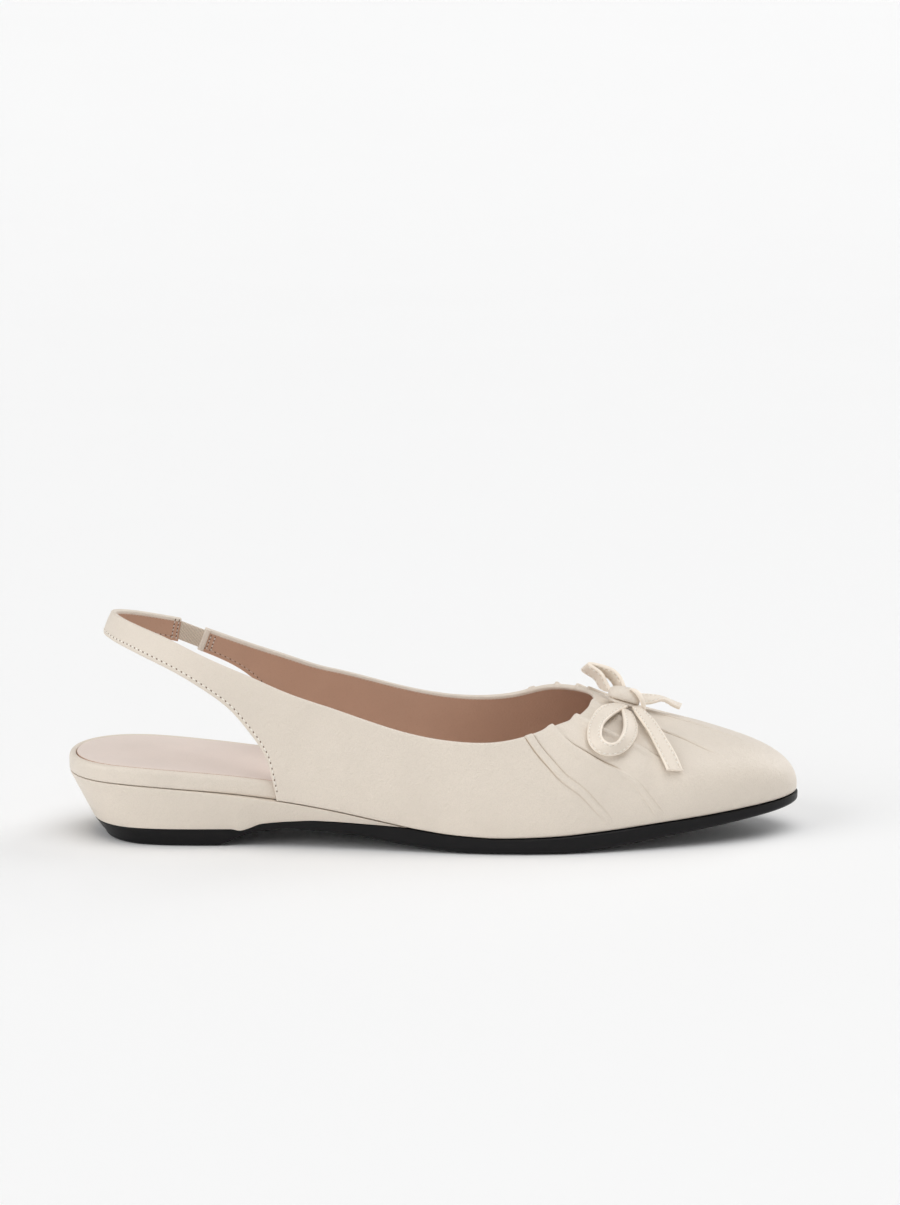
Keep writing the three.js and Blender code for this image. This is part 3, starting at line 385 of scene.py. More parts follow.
class Finish:
    """One material, built up from nodes."""

    def __init__(self, name, **shader):
        self.material = bpy.data.materials.new(name)
        self.material.use_nodes = True
        self.tree = self.material.node_tree
        self.tree.nodes.clear()
        end = self.tree.nodes.new("ShaderNodeOutputMaterial")
        self.shader = self.tree.nodes.new("ShaderNodeBsdfPrincipled")
        self.tree.links.new(self.shader.outputs[0], end.inputs["Surface"])
        for socket, value in shader.items():
            self.put(self.shader.inputs[socket.replace("_", " ")], value)
        self.place = self.node("ShaderNodeTexCoord", output="Object")

    def put(self, socket, value):
        if isinstance(value, Wire):
            self.tree.links.new(value.socket, socket)
        else:
            socket.default_value = value

    def done(self, colour, roughness, *normal):
        """Links the surface to the shader and gives the material back."""
        for socket, value in zip(("Base Color", "Roughness", "Normal"), (colour, roughness, *normal)):
            self.put(self.shader.inputs[socket], value)
        return self.material

    def node(self, kind, settings=None, sockets=None, output=0):
        made = self.tree.nodes.new(kind)
        for name, value in (settings or {}).items():
            setattr(made, name, value)
        for name, value in (sockets or {}).items():
            self.put(made.inputs[name], value)
        return Wire(self, made.outputs[output])

    def noise(self, scale, detail=2.0, rough=0.5, place=None):
        return self.node("ShaderNodeTexNoise", None, {
            "Vector": place or self.place, "Scale": scale, "Detail": detail, "Roughness": rough})

    def cells(self, scale):
        return self.node("ShaderNodeTexVoronoi", {"feature": "F1"},
                         {"Vector": self.place, "Scale": scale}, "Distance")

    def stretch(self, *amounts):
        return self.node("ShaderNodeVectorMath", {"operation": "MULTIPLY"}, {0: self.place, 1: amounts})

    def blend(self, share, one, two):
        """Colour one turns to colour two as share goes from 0 to 1."""
        one, two = [(*c, 1) if isinstance(c, tuple) and len(c) == 3 else c for c in (one, two)]
        return self.node("ShaderNodeMix", {"data_type": "RGBA"}, {"Factor": share, 6: one, 7: two}, 2)

    def relief(self, height, depth):
        return self.node("ShaderNodeBump", None, {"Height": height, "Distance": depth, "Strength": 1.0})


def shade(colour, amount):
    return tuple(min(1.0, channel * amount) for channel in colour)


# Painted shade in the leather's creases: the share of each colour channel kept where the surface is hollow
CREASE_SHADE_KEPT = (0.62, 0.53, 0.43)  # what the creases keep of each channel


def leather_finish(name, colour, grain, roughness):
    """Smooth coated leather: fine grain, faint mottling, a soft sheen, and painted shade in its creases,
    which turn browner and darker.
    """
    made = Finish(name, Specular_IOR_Level=0.5, Sheen_Weight=0.06, Sheen_Roughness=0.4)
    mottle = made.noise(38.0, 3.0)
    pores = made.cells(1.0 / grain)
    patches = made.noise(170.0, 2.0)
    tone = made.blend(mottle.ramp(0.3, 0.72), shade(colour, 0.965), shade(colour, 1.025))
    grained = made.blend(pores.ramp(0.28, 0.75) * 0.5, tone, shade(colour, 0.93))
    # Painted shade: hollow places, found by their pointiness, take a browner and darker base colour
    painted_crease_shade = made.node("ShaderNodeNewGeometry", output="Pointiness").ramp(0.497, 0.45)
    crease_shade_colour = tuple(channel * kept for channel, kept in zip(colour, CREASE_SHADE_KEPT))
    creases = made.noise(1100.0, 3.0, 0.55)
    slant = made.node("ShaderNodeMapping", {"vector_type": "TEXTURE"},
                      {"Vector": made.place, "Rotation": (0.0, 0.8, 0.0), "Scale": (1.0, 1.0, 2.8)})
    drawn = made.noise(1150.0, 2.0, place=slant) * (0.5 + patches)
    return made.done(made.blend(painted_crease_shade * 0.75, grained, crease_shade_colour),
                     roughness - 0.05 + patches * 0.07 + pores * 0.06,
                     made.relief(pores * -0.45 + creases * 0.35 + drawn * 1.1, 0.00016))


def lining_finish(name, colour):
    """Pig-skin lining: soft, matt, with small scattered pores."""
    made = Finish(name, Specular_IOR_Level=0.3, Sheen_Weight=0.08)
    mottle = made.noise(55.0, 3.0)
    pores = made.cells(1300.0)
    tone = made.blend(mottle.ramp(0.25, 0.75), shade(colour, 0.975), shade(colour, 1.02))
    return made.done(made.blend(pores.ramp(0.0, 0.25), shade(colour, 0.86), tone), 0.58 + mottle * 0.1,
                     made.relief(pores * 0.5 + made.noise(900.0, 3.0), 0.00008))


def rubber_finish(name, colour):
    """Moulded rubber: near black, satin, with faint flow marks and a fine dusty texture in its roughness and
    relief.
    """
    made = Finish(name, Specular_IOR_Level=0.2)
    flow = made.noise(60.0, 3.0, place=made.stretch(0.25, 1.0, 1.0))
    dust = made.noise(900.0, 2.0)
    return made.done(made.blend(flow.ramp(0.35, 0.7), shade(colour, 0.85), shade(colour, 1.25)),
                     0.3 + flow * 0.12 + dust * 0.05, made.relief(dust + flow * 0.6, 0.00004))


def elastic_finish(name, colour):
    """Ribbed elastic tape: covered rubber threads with a fine cross weave."""
    made = Finish(name, Specular_IOR_Level=0.25, Sheen_Weight=0.2)
    weave = made.node("ShaderNodeTexWave", {"bands_direction": "DIAGONAL"}, {
        "Vector": made.place, "Scale": 520.0, "Distortion": 1.5, "Detail": 2.0})
    lint = made.noise(1500.0, 2.0)
    return made.done(made.blend(weave * 0.6 + lint * 0.25, shade(colour, 0.78), shade(colour, 1.05)),
                     0.8 + lint * 0.1, made.relief(weave + lint * 0.5, 0.00012))


def thread_finish(name, colour):
    made = Finish(name, Specular_IOR_Level=0.35, Sheen_Weight=0.15)
    ply = made.noise(2600.0, 1.0)
    return made.done(made.blend(ply, shade(colour, 0.86), shade(colour, 1.06)), 0.55 + ply * 0.1,
                     made.relief(ply, 0.00005))


# Dark colour of a needle hole: painted shade
def hole_shade_finish(name, colour):
    made = Finish(name, Specular_IOR_Level=0.1)
    return made.done(made.blend(made.noise(1200.0), shade(colour, 0.8), shade(colour, 1.2)), 0.9)


def floor_finish(name, colour):
    made = Finish(name, Specular_IOR_Level=0.15)
    return made.done(made.blend(made.noise(3.0), shade(colour, 0.995), shade(colour, 1.005)), 0.75)


# Mesh tools
KNOT_FROM_TOPLINE = np.array([1.75, -0.54, 0.05]) * LACE_WIDTH
throat = [row[0][0] for row in RIB_ROWS].index("toe")
KNOT_AT = topline(RIB_ALONG[throat]) + KNOT_FROM_TOPLINE
knot_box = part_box("bow_knot")
SHIFT = np.array((knot_box[0] + knot_box[1]) / 2) / MM - KNOT_AT
SHIFT[2] = 0


def grid_faces(rows, around, offset=0):
    """Quads between rows of points, each row closed into a loop."""
    k = np.arange(around)
    n = (k + 1) % around
    faces = [np.column_stack([r * around + k, r * around + n, (r + 1) * around + n, (r + 1) * around + k])
             for r in range(rows - 1)]
    return (np.vstack(faces) + offset).tolist()


def cap_faces(rows, around):
    """Strips across the loop of points at each end of a grid, from one side to the other."""
    faces = []
    for base, order in ((0, -1), ((rows - 1) * around, 1)):
        for i in range(around // 2):
            quad = [base + q for q in (i, i + 1, (around - i - 1) % around, (around - i) % around)]
            kept = list(dict.fromkeys(quad[::order]))
            if len(kept) > 2:
                faces.append(kept)
    return faces


def end_faces(rows, around):
    """One face across each open end of a grid."""
    last = (rows - 1) * around
    return [list(range(around))[::-1], list(range(last, last + around))]


def facing_out(points, faces):
    """Faces turned so that the closed body holds a positive volume."""
    fans = np.array([(face[0], b, c) for face in faces for b, c in zip(face[1:-1], face[2:])])
    a, b, c = (points[fans[:, k]] for k in range(3))
    volume = np.einsum("ij,ij->", a, np.cross(b, c))
    return faces if volume > 0 else [face[::-1] for face in faces]


def placed(name, data):
    made = bpy.data.objects.new(name, data)
    bpy.context.scene.collection.objects.link(made)
    return made


def build(name, points, faces, finishes, slot, stands_for=(), parts=None, sharp=45.0):
    """One mesh piece from points in millimetres, on the shoe's body."""
    faces = facing_out(points, [list(map(int, face)) for face in faces])
    mesh = bpy.data.meshes.new(name)
    mesh.from_pydata(((points + SHIFT) * MM).tolist(), [], faces)
    mesh.validate()
    for material in finishes:
        mesh.materials.append(material)
    if parts is not None:
        mesh.polygons.foreach_set("material_index", np.asarray(parts, np.int32))
    mesh.shade_smooth()
    mesh.set_sharp_from_angle(angle=np.radians(sharp))
    made = placed(name, mesh)
    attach(made, "root")
    if stands_for:
        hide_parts(*stands_for)
    return made


def loft(name, rings, finishes, slot, stands_for, sharp=45.0, second=0):
    """Rings of points closed at both ends. The first rows can take the second finish."""
    around = len(rings[0])
    faces = grid_faces(len(rings), around)
    caps = cap_faces(len(rings), around)
    parts = [1] * (second * around) + [0] * (len(faces) - second * around + len(caps))
    return build(name, np.vstack(rings), faces + caps, finishes, slot, stands_for, parts, sharp)


def even_turns(count):
    side = np.linspace(0, 1, count)
    return np.r_[side, 2 - side[-2:0:-1]]


# Folds of the vamp: the line each one follows, as (distance along the ribs, share up the rib), and a raised
# band on it. Half width, slopes before and after the line, height and creases are given for both ends.
def fold(points, width, before, after, height, crease=((0, 0), (0, 0)), fade=(0.0, 0.3)):
    return dict(points=points, width=width, before=before, after=after, height=height,
                crease_before=crease[0], crease_after=crease[1], fade=fade)


SEAM_AT = 378.0
BAND_LIFT, CREASE_DEPTH = 1.2, 1.45
FOLDS = (
    fold(((209.4, 1.0), (209.6, 0.93), (210.2, 0.83), (211.6, 0.7), (213.3, 0.552), (216.3, 0.4), (218, 0.25),
          (219.3, 0.12), (220, 0.03)),
         (1.3, 0.95), (0.45, 0.6), (0.4, 0.55), (0.55, 0.38), ((0.5, 0.2), (0.4, 0.2)), (0, 0.14)),
    fold(((222.9, 1.0), (222.5, 0.94), (222.5, 0.88), (223.4, 0.795), (225.1, 0.72), (226.8, 0.636),
          (228.4, 0.569), (230.1, 0.502), (231.4, 0.42)),
         (0.45, 0.35), (2.0, 2.6), (0.18, 0.4), (1.35, 0.5), ((0, 0), (1.2, 0.35)), (0, 0.22)),
    fold(((228.9, 0.56), (230.8, 0.48), (232.2, 0.38), (232.4, 0.25), (232.6, 0.12), (232.7, 0.03)),
         (0.3, 1.15), (0.6, 0.5), (0.5, 0.5), (0.55, 0.4), ((0.15, 0.2), (0.15, 0.24)), (0.25, 0.16)),
    fold(((239.5, 1.0), (240.2, 0.93), (240.3, 0.86), (241.5, 0.795), (242.5, 0.741), (243.6, 0.674),
          (244.6, 0.611), (245.9, 0.54), (247, 0.44)),
         (0.45, 0.5), (1.6, 1.3), (0.18, 0.45), (1.4, 0.6), ((0, 0.2), (1.2, 0.4)), (0, 0.25)),
    fold(((261.6, 1.0), (259.6, 0.97), (258.2, 0.93), (257.4, 0.87), (257, 0.78), (257, 0.66)),
         (0.45, 0.4), (1.5, 1.6), (0.18, 0.35), (1.35, 0.6), ((0, 0), (1.15, 0.5)), (0, 0.3)),
    fold(((277.5, 0.94), (276, 0.87), (275.1, 0.82), (274.8, 0.753), (273.8, 0.678), (272.1, 0.598),
          (271.1, 0.506), (270, 0.4)),
         (0.55, 0.45), (0.5, 0.8), (0.9, 1.6), (0.5, 0.3), ((0.6, 0.3), (0.15, 0.1)), (0.1, 0.35)),
    fold(((284, 0.92), (283, 0.82), (282.2, 0.74), (281, 0.66), (279.4, 0.58), (277, 0.46)),
         (0.4, 0.4), (0.5, 0.9), (0.6, 1.2), (0.4, 0.25), ((0.22, 0.1), (0, 0)), (0.1, 0.4)),
    fold(((263, 0.84), (261.8, 0.77), (261.4, 0.736), (261.5, 0.653), (260.9, 0.548), (261, 0.448),
          (261, 0.34)),
         (0.3, 0.3), (0.5, 0.8), (1.5, 2.2), (0.32, 0.2), ((0.5, 0.25), (0, 0)), (0.12, 0.4)),
    fold(((293.4, 1.0), (292.9, 0.95), (291.6, 0.9), (291.5, 0.8), (290, 0.6), (288, 0.4)),
         (0.42, 0.4), (0.35, 0.8), (0.4, 2.6), (0.75, 0.4), ((0.4, 0.2), (0.4, 0))),
    fold(((304, 1.0), (304.5, 0.88), (304, 0.72), (301.5, 0.5), (299, 0.25)),
         (0.42, 0.5), (0.35, 1.0), (0.4, 3.0), (0.75, 0.4), ((0.4, 0.15), (0.4, 0))),
    fold(((317, 1.0), (317.5, 0.88), (317, 0.7), (315, 0.45), (313.5, 0.2)),
         (0.42, 0.5), (0.35, 1.2), (0.4, 3.5), (0.75, 0.4), ((0.4, 0.15), (0.4, 0))),
    fold(((331, 1.0), (331.2, 0.86), (330, 0.6), (328, 0.3), (327, 0.06)),
         (1.2, 0.9), (0.45, 0.7), (0.5, 0.7), (0.6, 0.35), ((0.24, 0.15), (0.28, 0.15)), (0, 0.2)),
    fold(((246, 0.4), (246.4, 0.32), (246.9, 0.24), (247.5, 0.14)),
         (0.3, 0.3), (0.7, 0.9), (1.4, 2.0), (0.35, 0.25), fade=(0.3, 0.4)),
    fold(((251, 0.66), (246.5, 0.53), (242.5, 0.418), (240, 0.31), (237.8, 0.2)),
         (1.4, 1.4), (3.5, 4.5), (3.0, 4.0), (-0.8, -0.4), fade=(0.3, 0.35)),
)


def fold_height(along, t, points, normals):
    """How far the folds lift each point of the skin, in millimetres."""
    lift = np.zeros(along.shape)
    for one in FOLDS:
        knots = np.array(one["points"], float)
        chord = measured(skin(knots[:, 0], knots[:, 1]))
        path = natural(chord, knots)(np.linspace(0, chord[-1], 60))
        line = skin(path[:, 0], np.clip(path[:, 1], 0, 1))
        near = np.abs(along - np.interp(t, path[::-1, 1], path[::-1, 0])) < 20
        where = np.nonzero(near)[0]
        p, up = points[where], normals[where]
        best, side, reached = np.full(len(where), 1e9), np.zeros(len(where)), np.zeros(len(where))
        for k in range(len(line) - 1):
            run = line[k + 1] - line[k]
            share = np.clip(((p - line[k]) @ run) / (run @ run), 0, 1)
            away = p - line[k] - share[:, None] * run
            distance = np.linalg.norm(away, axis=1)
            closer = distance < best
            best = np.where(closer, distance, best)
            sign = np.sign(np.einsum("ij,ij->i", away, np.cross(up, run)))
            side = np.where(closer, sign, side)
            reached = np.where(closer, (k + share) / (len(line) - 1), reached)
        across = best * side

        def at(name):
            return one[name][0] + (one[name][1] - one[name][0]) * reached

        width = at("width")
        past = np.maximum(-across - width, 0) / at("before"), np.maximum(across - width, 0) / at("after")
        band = np.exp(-past[0] ** 2 - past[1] ** 2)
        spread = 0.23 + 0.22 * reached
        creases = (at("crease_before") * bell(across + width + 0.25, spread)
                   + at("crease_after") * bell(across - width - 0.25, spread))
        fade = smoothstep(1 - reached, 0, one["fade"][1])
        if one["fade"][0]:
            fade = fade * smoothstep(reached, 0, one["fade"][0])
        lift[where] += (band * at("height") * BAND_LIFT - creases * CREASE_DEPTH) * fade
    seam = along - SEAM_AT
    return lift + 0.22 * bell(seam, 1.6, 4) - 0.5 * bell(seam, 0.2)


CREAM_INSIDE = 0.3
# Topline and lower edge of the upper, turned over in a small round: (inwards, below the edge)
EDGE_TURN = ((0.03, 0.62), (0.1, 0.38), (0.24, 0.17), (0.48, 0.03), (0.85, -0.03), (1.2, 0.0), (1.5, 0.12),
             (1.68, 0.32), (1.77, 0.6))
EDGE_START = 0.85
FACE_ROWS, INNER_ROWS = 58, 14


def upper_stations():
    strap = np.linspace(0, LATERAL_CORNER, 120, endpoint=False)
    sole = feather_along(np.linspace(rib_turns[FIRST], rib_turns[LAST], 230, endpoint=False))
    gathered, seam = np.arange(204, 336, 0.22), np.arange(SEAM_AT - 2.4, SEAM_AT + 2.4, 0.15)
    sole = sole[(sole < 203.5) | (sole > 336.5) & (np.abs(sole - SEAM_AT) > 2.5)]
    sole = np.sort(np.r_[sole, gathered, seam])
    tip = np.linspace(MEDIAL_CORNER, RIB_END, 60)
    return np.r_[strap, sole, tip]


def upper_mesh():
    along = upper_stations()
    stations = len(along)
    ribs = skin(along[:, None], np.linspace(0, 1, 40)[None])
    length = np.linalg.norm(np.diff(ribs, axis=1), axis=-1).sum(1)
    start = EDGE_START / length
    rows = np.linspace(0, 1, FACE_ROWS)
    t = start[:, None] + (1 - 2 * start[:, None]) * rows[None]
    outer = skin(along[:, None], t)
    normal, _ = skin_frame(along[:, None], t)
    flat = [a.reshape(-1, *a.shape[2:]) for a in (np.broadcast_to(along[:, None], t.shape), t, outer, normal)]
    lift = fold_height(*flat).reshape(t.shape)
    outer = outer + normal * lift[..., None]
    inner_t = 1 - start[:, None] - (1 - 2 * start[:, None]) * np.linspace(0, 1, INNER_ROWS)[None]
    band_t = (1 - start - CREAM_INSIDE / length)[:, None]
    inner_t[:, 1] = band_t[:, 0]
    inner_t[:, 2:] = np.minimum(inner_t[:, 2:], band_t - 0.3 / length[:, None] * np.arange(1, INNER_ROWS - 1))
    inner_t = np.maximum(inner_t, start[:, None] * np.linspace(2, 1, INNER_ROWS)[None])
    inner = skin(along[:, None], inner_t) - skin_frame(along[:, None], inner_t)[0] * WALL
    edges = []
    for end, sign in ((1.0, 1), (0.0, -1)):
        foot = skin(along, np.full(stations, end))
        out, up = skin_frame(along, np.full(stations, end))
        raised = lift[:, -1] if end else lift[:, 0]
        profile = []
        for inwards, below in EDGE_TURN:
            kept = 1 - inwards / WALL
            inset = (inwards - raised * kept)[:, None]
            rise = (0.22 * np.maximum(raised, 0) * kept - below)[:, None]
            profile.append(foot - out * inset + up * sign * rise)
        profile = np.stack(profile, 1)
        edges.append(profile if end else profile[:, ::-1])
    loop = np.concatenate([outer, edges[0], inner, edges[1]], 1)
    around = loop.shape[1]
    points = loop.reshape(-1, 3)
    column, lining_from = np.arange(around), FACE_ROWS + len(EDGE_TURN) + 1
    lined = ((column >= lining_from) & (column < lining_from + INNER_ROWS + 2)).astype(int)
    faces = grid_faces(stations, around) + end_faces(stations, around)
    return points, faces, np.r_[np.tile(lined, stations - 1), 0, 0]


WEDGE_END = WEDGE_TIP + 1.7


def wedge_gap(x):
    """Room for the wedge between sole and feather line: it thins evenly to nothing at its front end."""
    whole = seat(x) - outsole_top(x)
    back = np.maximum(WEDGE_END + 0.2 - x, 0)
    thinning = back * 0.168 + np.maximum(back - 30, 0) ** 2 * 0.012
    return (whole + thinning - np.sqrt((whole - thinning) ** 2 + 0.8)) / 2 + 0.2 * np.exp(-thinning)


def sole_top(x):
    return np.where(x < WEDGE_END, seat(x) - np.maximum(wedge_gap(x), 0.0), outsole_top(x))


def outsole_rings():
    turns = even_turns(180)
    tread_heel = LIFT_HEEL + LIFT_UNDERCUT

    def corner(x):
        return EDGE_ROUND * tread_round(share_of(x))

    rings = []
    for inset, up in ((1.3, 0.0), (1.1, 0.01), (0.8, 0.08), (0.5, 0.22), (0.25, 0.45), (0.08, 0.72),
                      (0.0, 1.0)):
        rings.append(ring(turns, tread_heel, lambda x: sole_edge(x) - inset * corner(x),
                          lambda x: underside(x) + up * corner(x)))
    top = ring(turns, LIFT_HEEL, sole_top_edge, sole_top)
    for share in (0.12, 0.4, 0.7, 0.93):
        rings.append(rings[6] * (1 - share) + top * share)
    rim = top.copy()
    rim[:, :2] -= outward(turns, LIFT_HEEL) * 0.3
    return rings + [rim]


def wedge_rings():
    half = np.linspace(0, float(to_turn((WEDGE_END - LIFT_HEEL) / (TOE_END - LIFT_HEEL))), 130)
    turns = np.r_[half, 2 - half[:0:-1]]
    straight = [(share, 0.0) for share in (0.025, 0.12, 0.25, 0.4, 0.55, 0.7, 0.85, 0.94)]
    layers = [(0.0, 0.35), (0.0, 0.1), *straight, (0.975, 0.06), (0.995, 0.22), (1.0, 0.5)]
    rings = []
    for share, inset in layers:
        heel = LIFT_HEEL + (HEEL_END - LIFT_HEEL) * share
        rings.append(ring(
            turns, heel,
            lambda x: (sole_top_edge(x) * (1 - share)
                       + (WALL + CLEARANCE) * wedge_grow(share_of(x)) * share - inset),
            lambda x: seat(x) - np.maximum(wedge_gap(x) - CLEARANCE * 0.4, 0.04) * (1 - share)))
    return rings


def footbed_rings():
    turns = even_turns(170)
    base = [(-0.5, 0.0), (-0.22, 0.06), (-0.06, 0.3), (0.0, 0.7)]
    rings = [ring(turns, HEEL_END, inset, lambda x: seat(x) + CLEARANCE + up) for inset, up in base]
    wall_top = ring(turns, HEEL_END, 0.0, lambda x: crest(x) - RIM_WIDTH * 0.85)
    rings += [rings[3] * (1 - k) + wall_top * k for k in (0.3, 0.65, 1.0)]
    for inset, down in ((0.02, 0.62), (0.08, 0.4), (0.19, 0.2), (0.34, 0.06), (0.52, 0.0), (0.68, 0.02),
                        (0.82, 0.09), (0.93, 0.2), (1.0, 0.36)):
        rings.append(ring(turns, HEEL_END, -RIM_WIDTH * inset, lambda x: crest(x) - RIM_WIDTH * down))
    rings.append(ring(turns, HEEL_END, -RIM_WIDTH, sock_seat))
    return rings


def sock_rings():
    turns = even_turns(170)
    rings = []
    for inset, up in ((0.0, 0.0), (0.0, 0.5), (0.0, 1.0), (0.08, 1.25), (0.24, 1.38), (0.5, 1.45),
                      (2.0, 1.47)):
        rings.append(ring(turns, HEEL_END, -RIM_WIDTH - CLEARANCE * 0.7 - inset,
                          lambda x: sock_seat(x) + CLEARANCE + SOCK_THICKNESS * up))
    return rings


# Bow. The lace's two edges, in lace widths from the knot's middle, along each strip
LACES = {
    "bow_loop_near": (
        (-0.56, -0.62, -0.30, 0.18, -0.90, -0.43),
        (-1.36, -1.31, -0.28, -0.44, -1.58, -0.61),
        (-1.90, -2.14, -0.57, -0.98, -2.47, -0.77),
        (-2.24, -3.17, -0.95, -1.38, -3.64, -0.93),
        (-2.36, -4.00, -1.33, -1.52, -4.49, -1.23),
        (-2.30, -4.59, -1.80, -1.44, -4.98, -1.47),
        (-1.98, -4.90, -2.18, -1.21, -5.19, -1.60),
        (-1.52, -5.03, -2.40, -0.92, -5.23, -1.64),
        (-1.01, -5.03, -2.46, -0.63, -5.12, -1.54),
        (-0.43, -4.81, -2.37, -0.42, -4.83, -1.31),
        (0.11, -4.24, -2.10, -0.27, -4.24, -1.10),
        (0.49, -3.43, -1.79, -0.20, -3.43, -0.97),
        (0.67, -2.52, -1.47, -0.17, -2.62, -0.85),
        (0.62, -1.69, -1.12, -0.18, -2.07, -0.70),
        (0.33, -0.90, -0.74, -0.20, -1.35, -0.48),
    ),
    "bow_loop_far": (
        (-0.70, 0.60, 0.22, -1.02, 1.10, 0.16),
        (-0.93, 0.83, 0.64, -1.36, 1.48, 0.26),
        (-1.15, 1.00, 1.10, -1.60, 1.69, 0.64),
        (-1.57, 1.21, 1.49, -2.02, 1.90, 0.94),
        (-1.98, 1.38, 1.77, -2.42, 2.07, 1.22),
        (-1.63, 1.52, 1.72, -2.08, 2.21, 1.17),
        (-1.21, 1.52, 1.62, -1.65, 2.21, 1.07),
        (-0.63, 1.34, 1.45, -1.08, 2.03, 0.89),
        (-0.23, 1.14, 1.14, -0.68, 1.83, 0.59),
        (-0.02, 0.93, 0.81, -0.46, 1.62, 0.25),
        (0.09, 0.76, 0.50, -0.36, 1.45, 0.05),
    ),
    "bow_tail_near": (
        (0.42, -0.68, -0.49, 0.94, -0.62, -0.55),
        (0.82, -1.97, -0.98, 1.58, -1.71, -0.92),
        (1.24, -2.97, -1.52, 1.97, -2.66, -1.32),
        (1.66, -3.86, -2.26, 2.41, -3.55, -1.93),
        (1.99, -4.47, -2.86, 2.83, -4.20, -2.60),
        (2.23, -4.83, -3.34, 3.19, -4.70, -3.42),
    ),
    "bow_tail_far": (
        (0.86, 0.42, 0.12, 1.08, -0.10, -0.42),
        (1.58, 0.71, 0.01, 1.69, 0.14, -0.42),
        (2.09, 1.00, -0.14, 2.06, 0.31, -0.32),
        (2.57, 1.41, -0.39, 2.43, 0.62, -0.32),
        (3.08, 1.72, -0.65, 2.90, 0.90, -0.65),
        (3.57, 1.93, -0.86, 3.41, 1.14, -0.93),
    ),
}


STITCH_DENT, LACE_SEAM = 0.2, 1.05


class Lace:
    """A folded strip of leather between two edge curves."""

    def __init__(self, rows):
        rows = np.array(rows, float)
        self.along = measured((rows[:, :3] + rows[:, 3:]) / 2)
        self.curve = natural(self.along, rows)

    def edges(self, q):
        at = self.curve(np.clip(q, 0, 1) * self.along[-1]) * LACE_WIDTH
        return at[..., :3] + KNOT_AT, at[..., 3:] + KNOT_AT

    def frame(self, q):
        one, two = self.edges(q)
        ahead = sum(self.edges(np.minimum(q + 0.01, 1))) - sum(self.edges(np.maximum(q - 0.01, 0)))
        return one, two, unit(np.cross(ahead, two - one))

    def length(self):
        middle = sum(self.edges(np.linspace(0, 1, 200))) / 2
        return measured(middle)[-1]

    def section(self):
        """Share across and half thickness of the strip: round edges, a groove under each stitch line."""
        u = (1 - np.cos(np.linspace(0, np.pi, 25))) / 2
        edge = np.minimum(u, 1 - u) * LACE_WIDTH
        half = LACE_THICKNESS / 2 * np.sqrt(np.clip(1 - (1 - np.minimum(edge / 0.75, 1)) ** 2, 0, 1))
        return u, half - STITCH_DENT * np.exp(-(((edge - LACE_SEAM) / 0.32) ** 2)) * (edge > 0.1)

    def mesh(self, stations):
        one, two, out = self.frame(np.linspace(0, 1, stations))
        u, half = self.section()
        middle = one[:, None] + (two - one)[:, None] * u[None, :, None]
        thick = out[:, None] * half[None, :, None]
        loop = np.concatenate([middle + thick, (middle - thick)[:, -2:0:-1]], 1)
        around = loop.shape[1]
        faces = grid_faces(stations, around)
        # The rolled edges and the cut ends take the lighter finish: a painted highlight
        edge = np.minimum(u, 1 - u) * LACE_WIDTH < 0.72
        edge = np.r_[edge, edge[-2:0:-1]]
        rolled = (edge & np.roll(edge, -1)).astype(int)
        caps = cap_faces(stations, around)
        return loop.reshape(-1, 3), faces + caps, np.r_[np.tile(rolled, stations - 1), [1] * len(caps)]


def knot_mesh():
    """The main turn of the knot: a full pillow with a rolled lower edge."""
    around, rows = 96, 64
    tilt = np.linspace(0, np.pi, rows)
    swing = all_round(around)

    girth = full(np.sin(tilt), 0.6)[:, None]
    x = np.repeat(full(np.cos(tilt), 0.68)[:, None], around, 1)
    y, z = girth * np.cos(swing), girth * np.sin(swing)
    roll = -0.3 - 0.24 * x
    front = smoothstep(-y, -0.35, 0.1) * smoothstep(1 - np.abs(x), 0, 0.12)
    groove = 0.27 * bell(z - roll, 0.07)
    rolled = 0.15 * bell(z - roll + 0.22, 0.15) - 0.03 * bell(z - roll - 0.16, 0.1)
    slack = 0.028 * np.sin(3.4 * x + 2.6 * z + 0.6)
    swell = 1 + (rolled - groove + slack) * front
    points = np.stack([x * 0.93, y * 0.7 * swell, z * 0.62 * swell + x * 0.93 * -0.14], -1)
    points = (points * LACE_WIDTH + KNOT_AT)[1:-1].reshape(-1, 3)
    ends = np.array([(0.93, 0, -0.13), (-0.93, 0, 0.13)]) * LACE_WIDTH + KNOT_AT
    faces = grid_faces(rows - 2, around)
    last = (rows - 3) * around
    top, bottom = len(points), len(points) + 1
    faces += [[top, (i + 1) % around, i] for i in range(around)]
    faces += [[bottom, last + i, last + (i + 1) % around] for i in range(around)]
    return np.vstack([points, ends]), faces


# Strand that comes over the knot's toe end, in lace widths from its middle: place, half width, half thickness
STRAND = ((0.36, -0.36, 0.57, 0.09, 0.05), (0.54, -0.52, 0.53, 0.13, 0.07), (0.76, -0.62, 0.38, 0.17, 0.09),
          (0.95, -0.64, 0.1, 0.185, 0.1), (1.08, -0.58, -0.22, 0.185, 0.1), (1.15, -0.46, -0.54, 0.17, 0.095),
          (1.16, -0.26, -0.84, 0.14, 0.08))


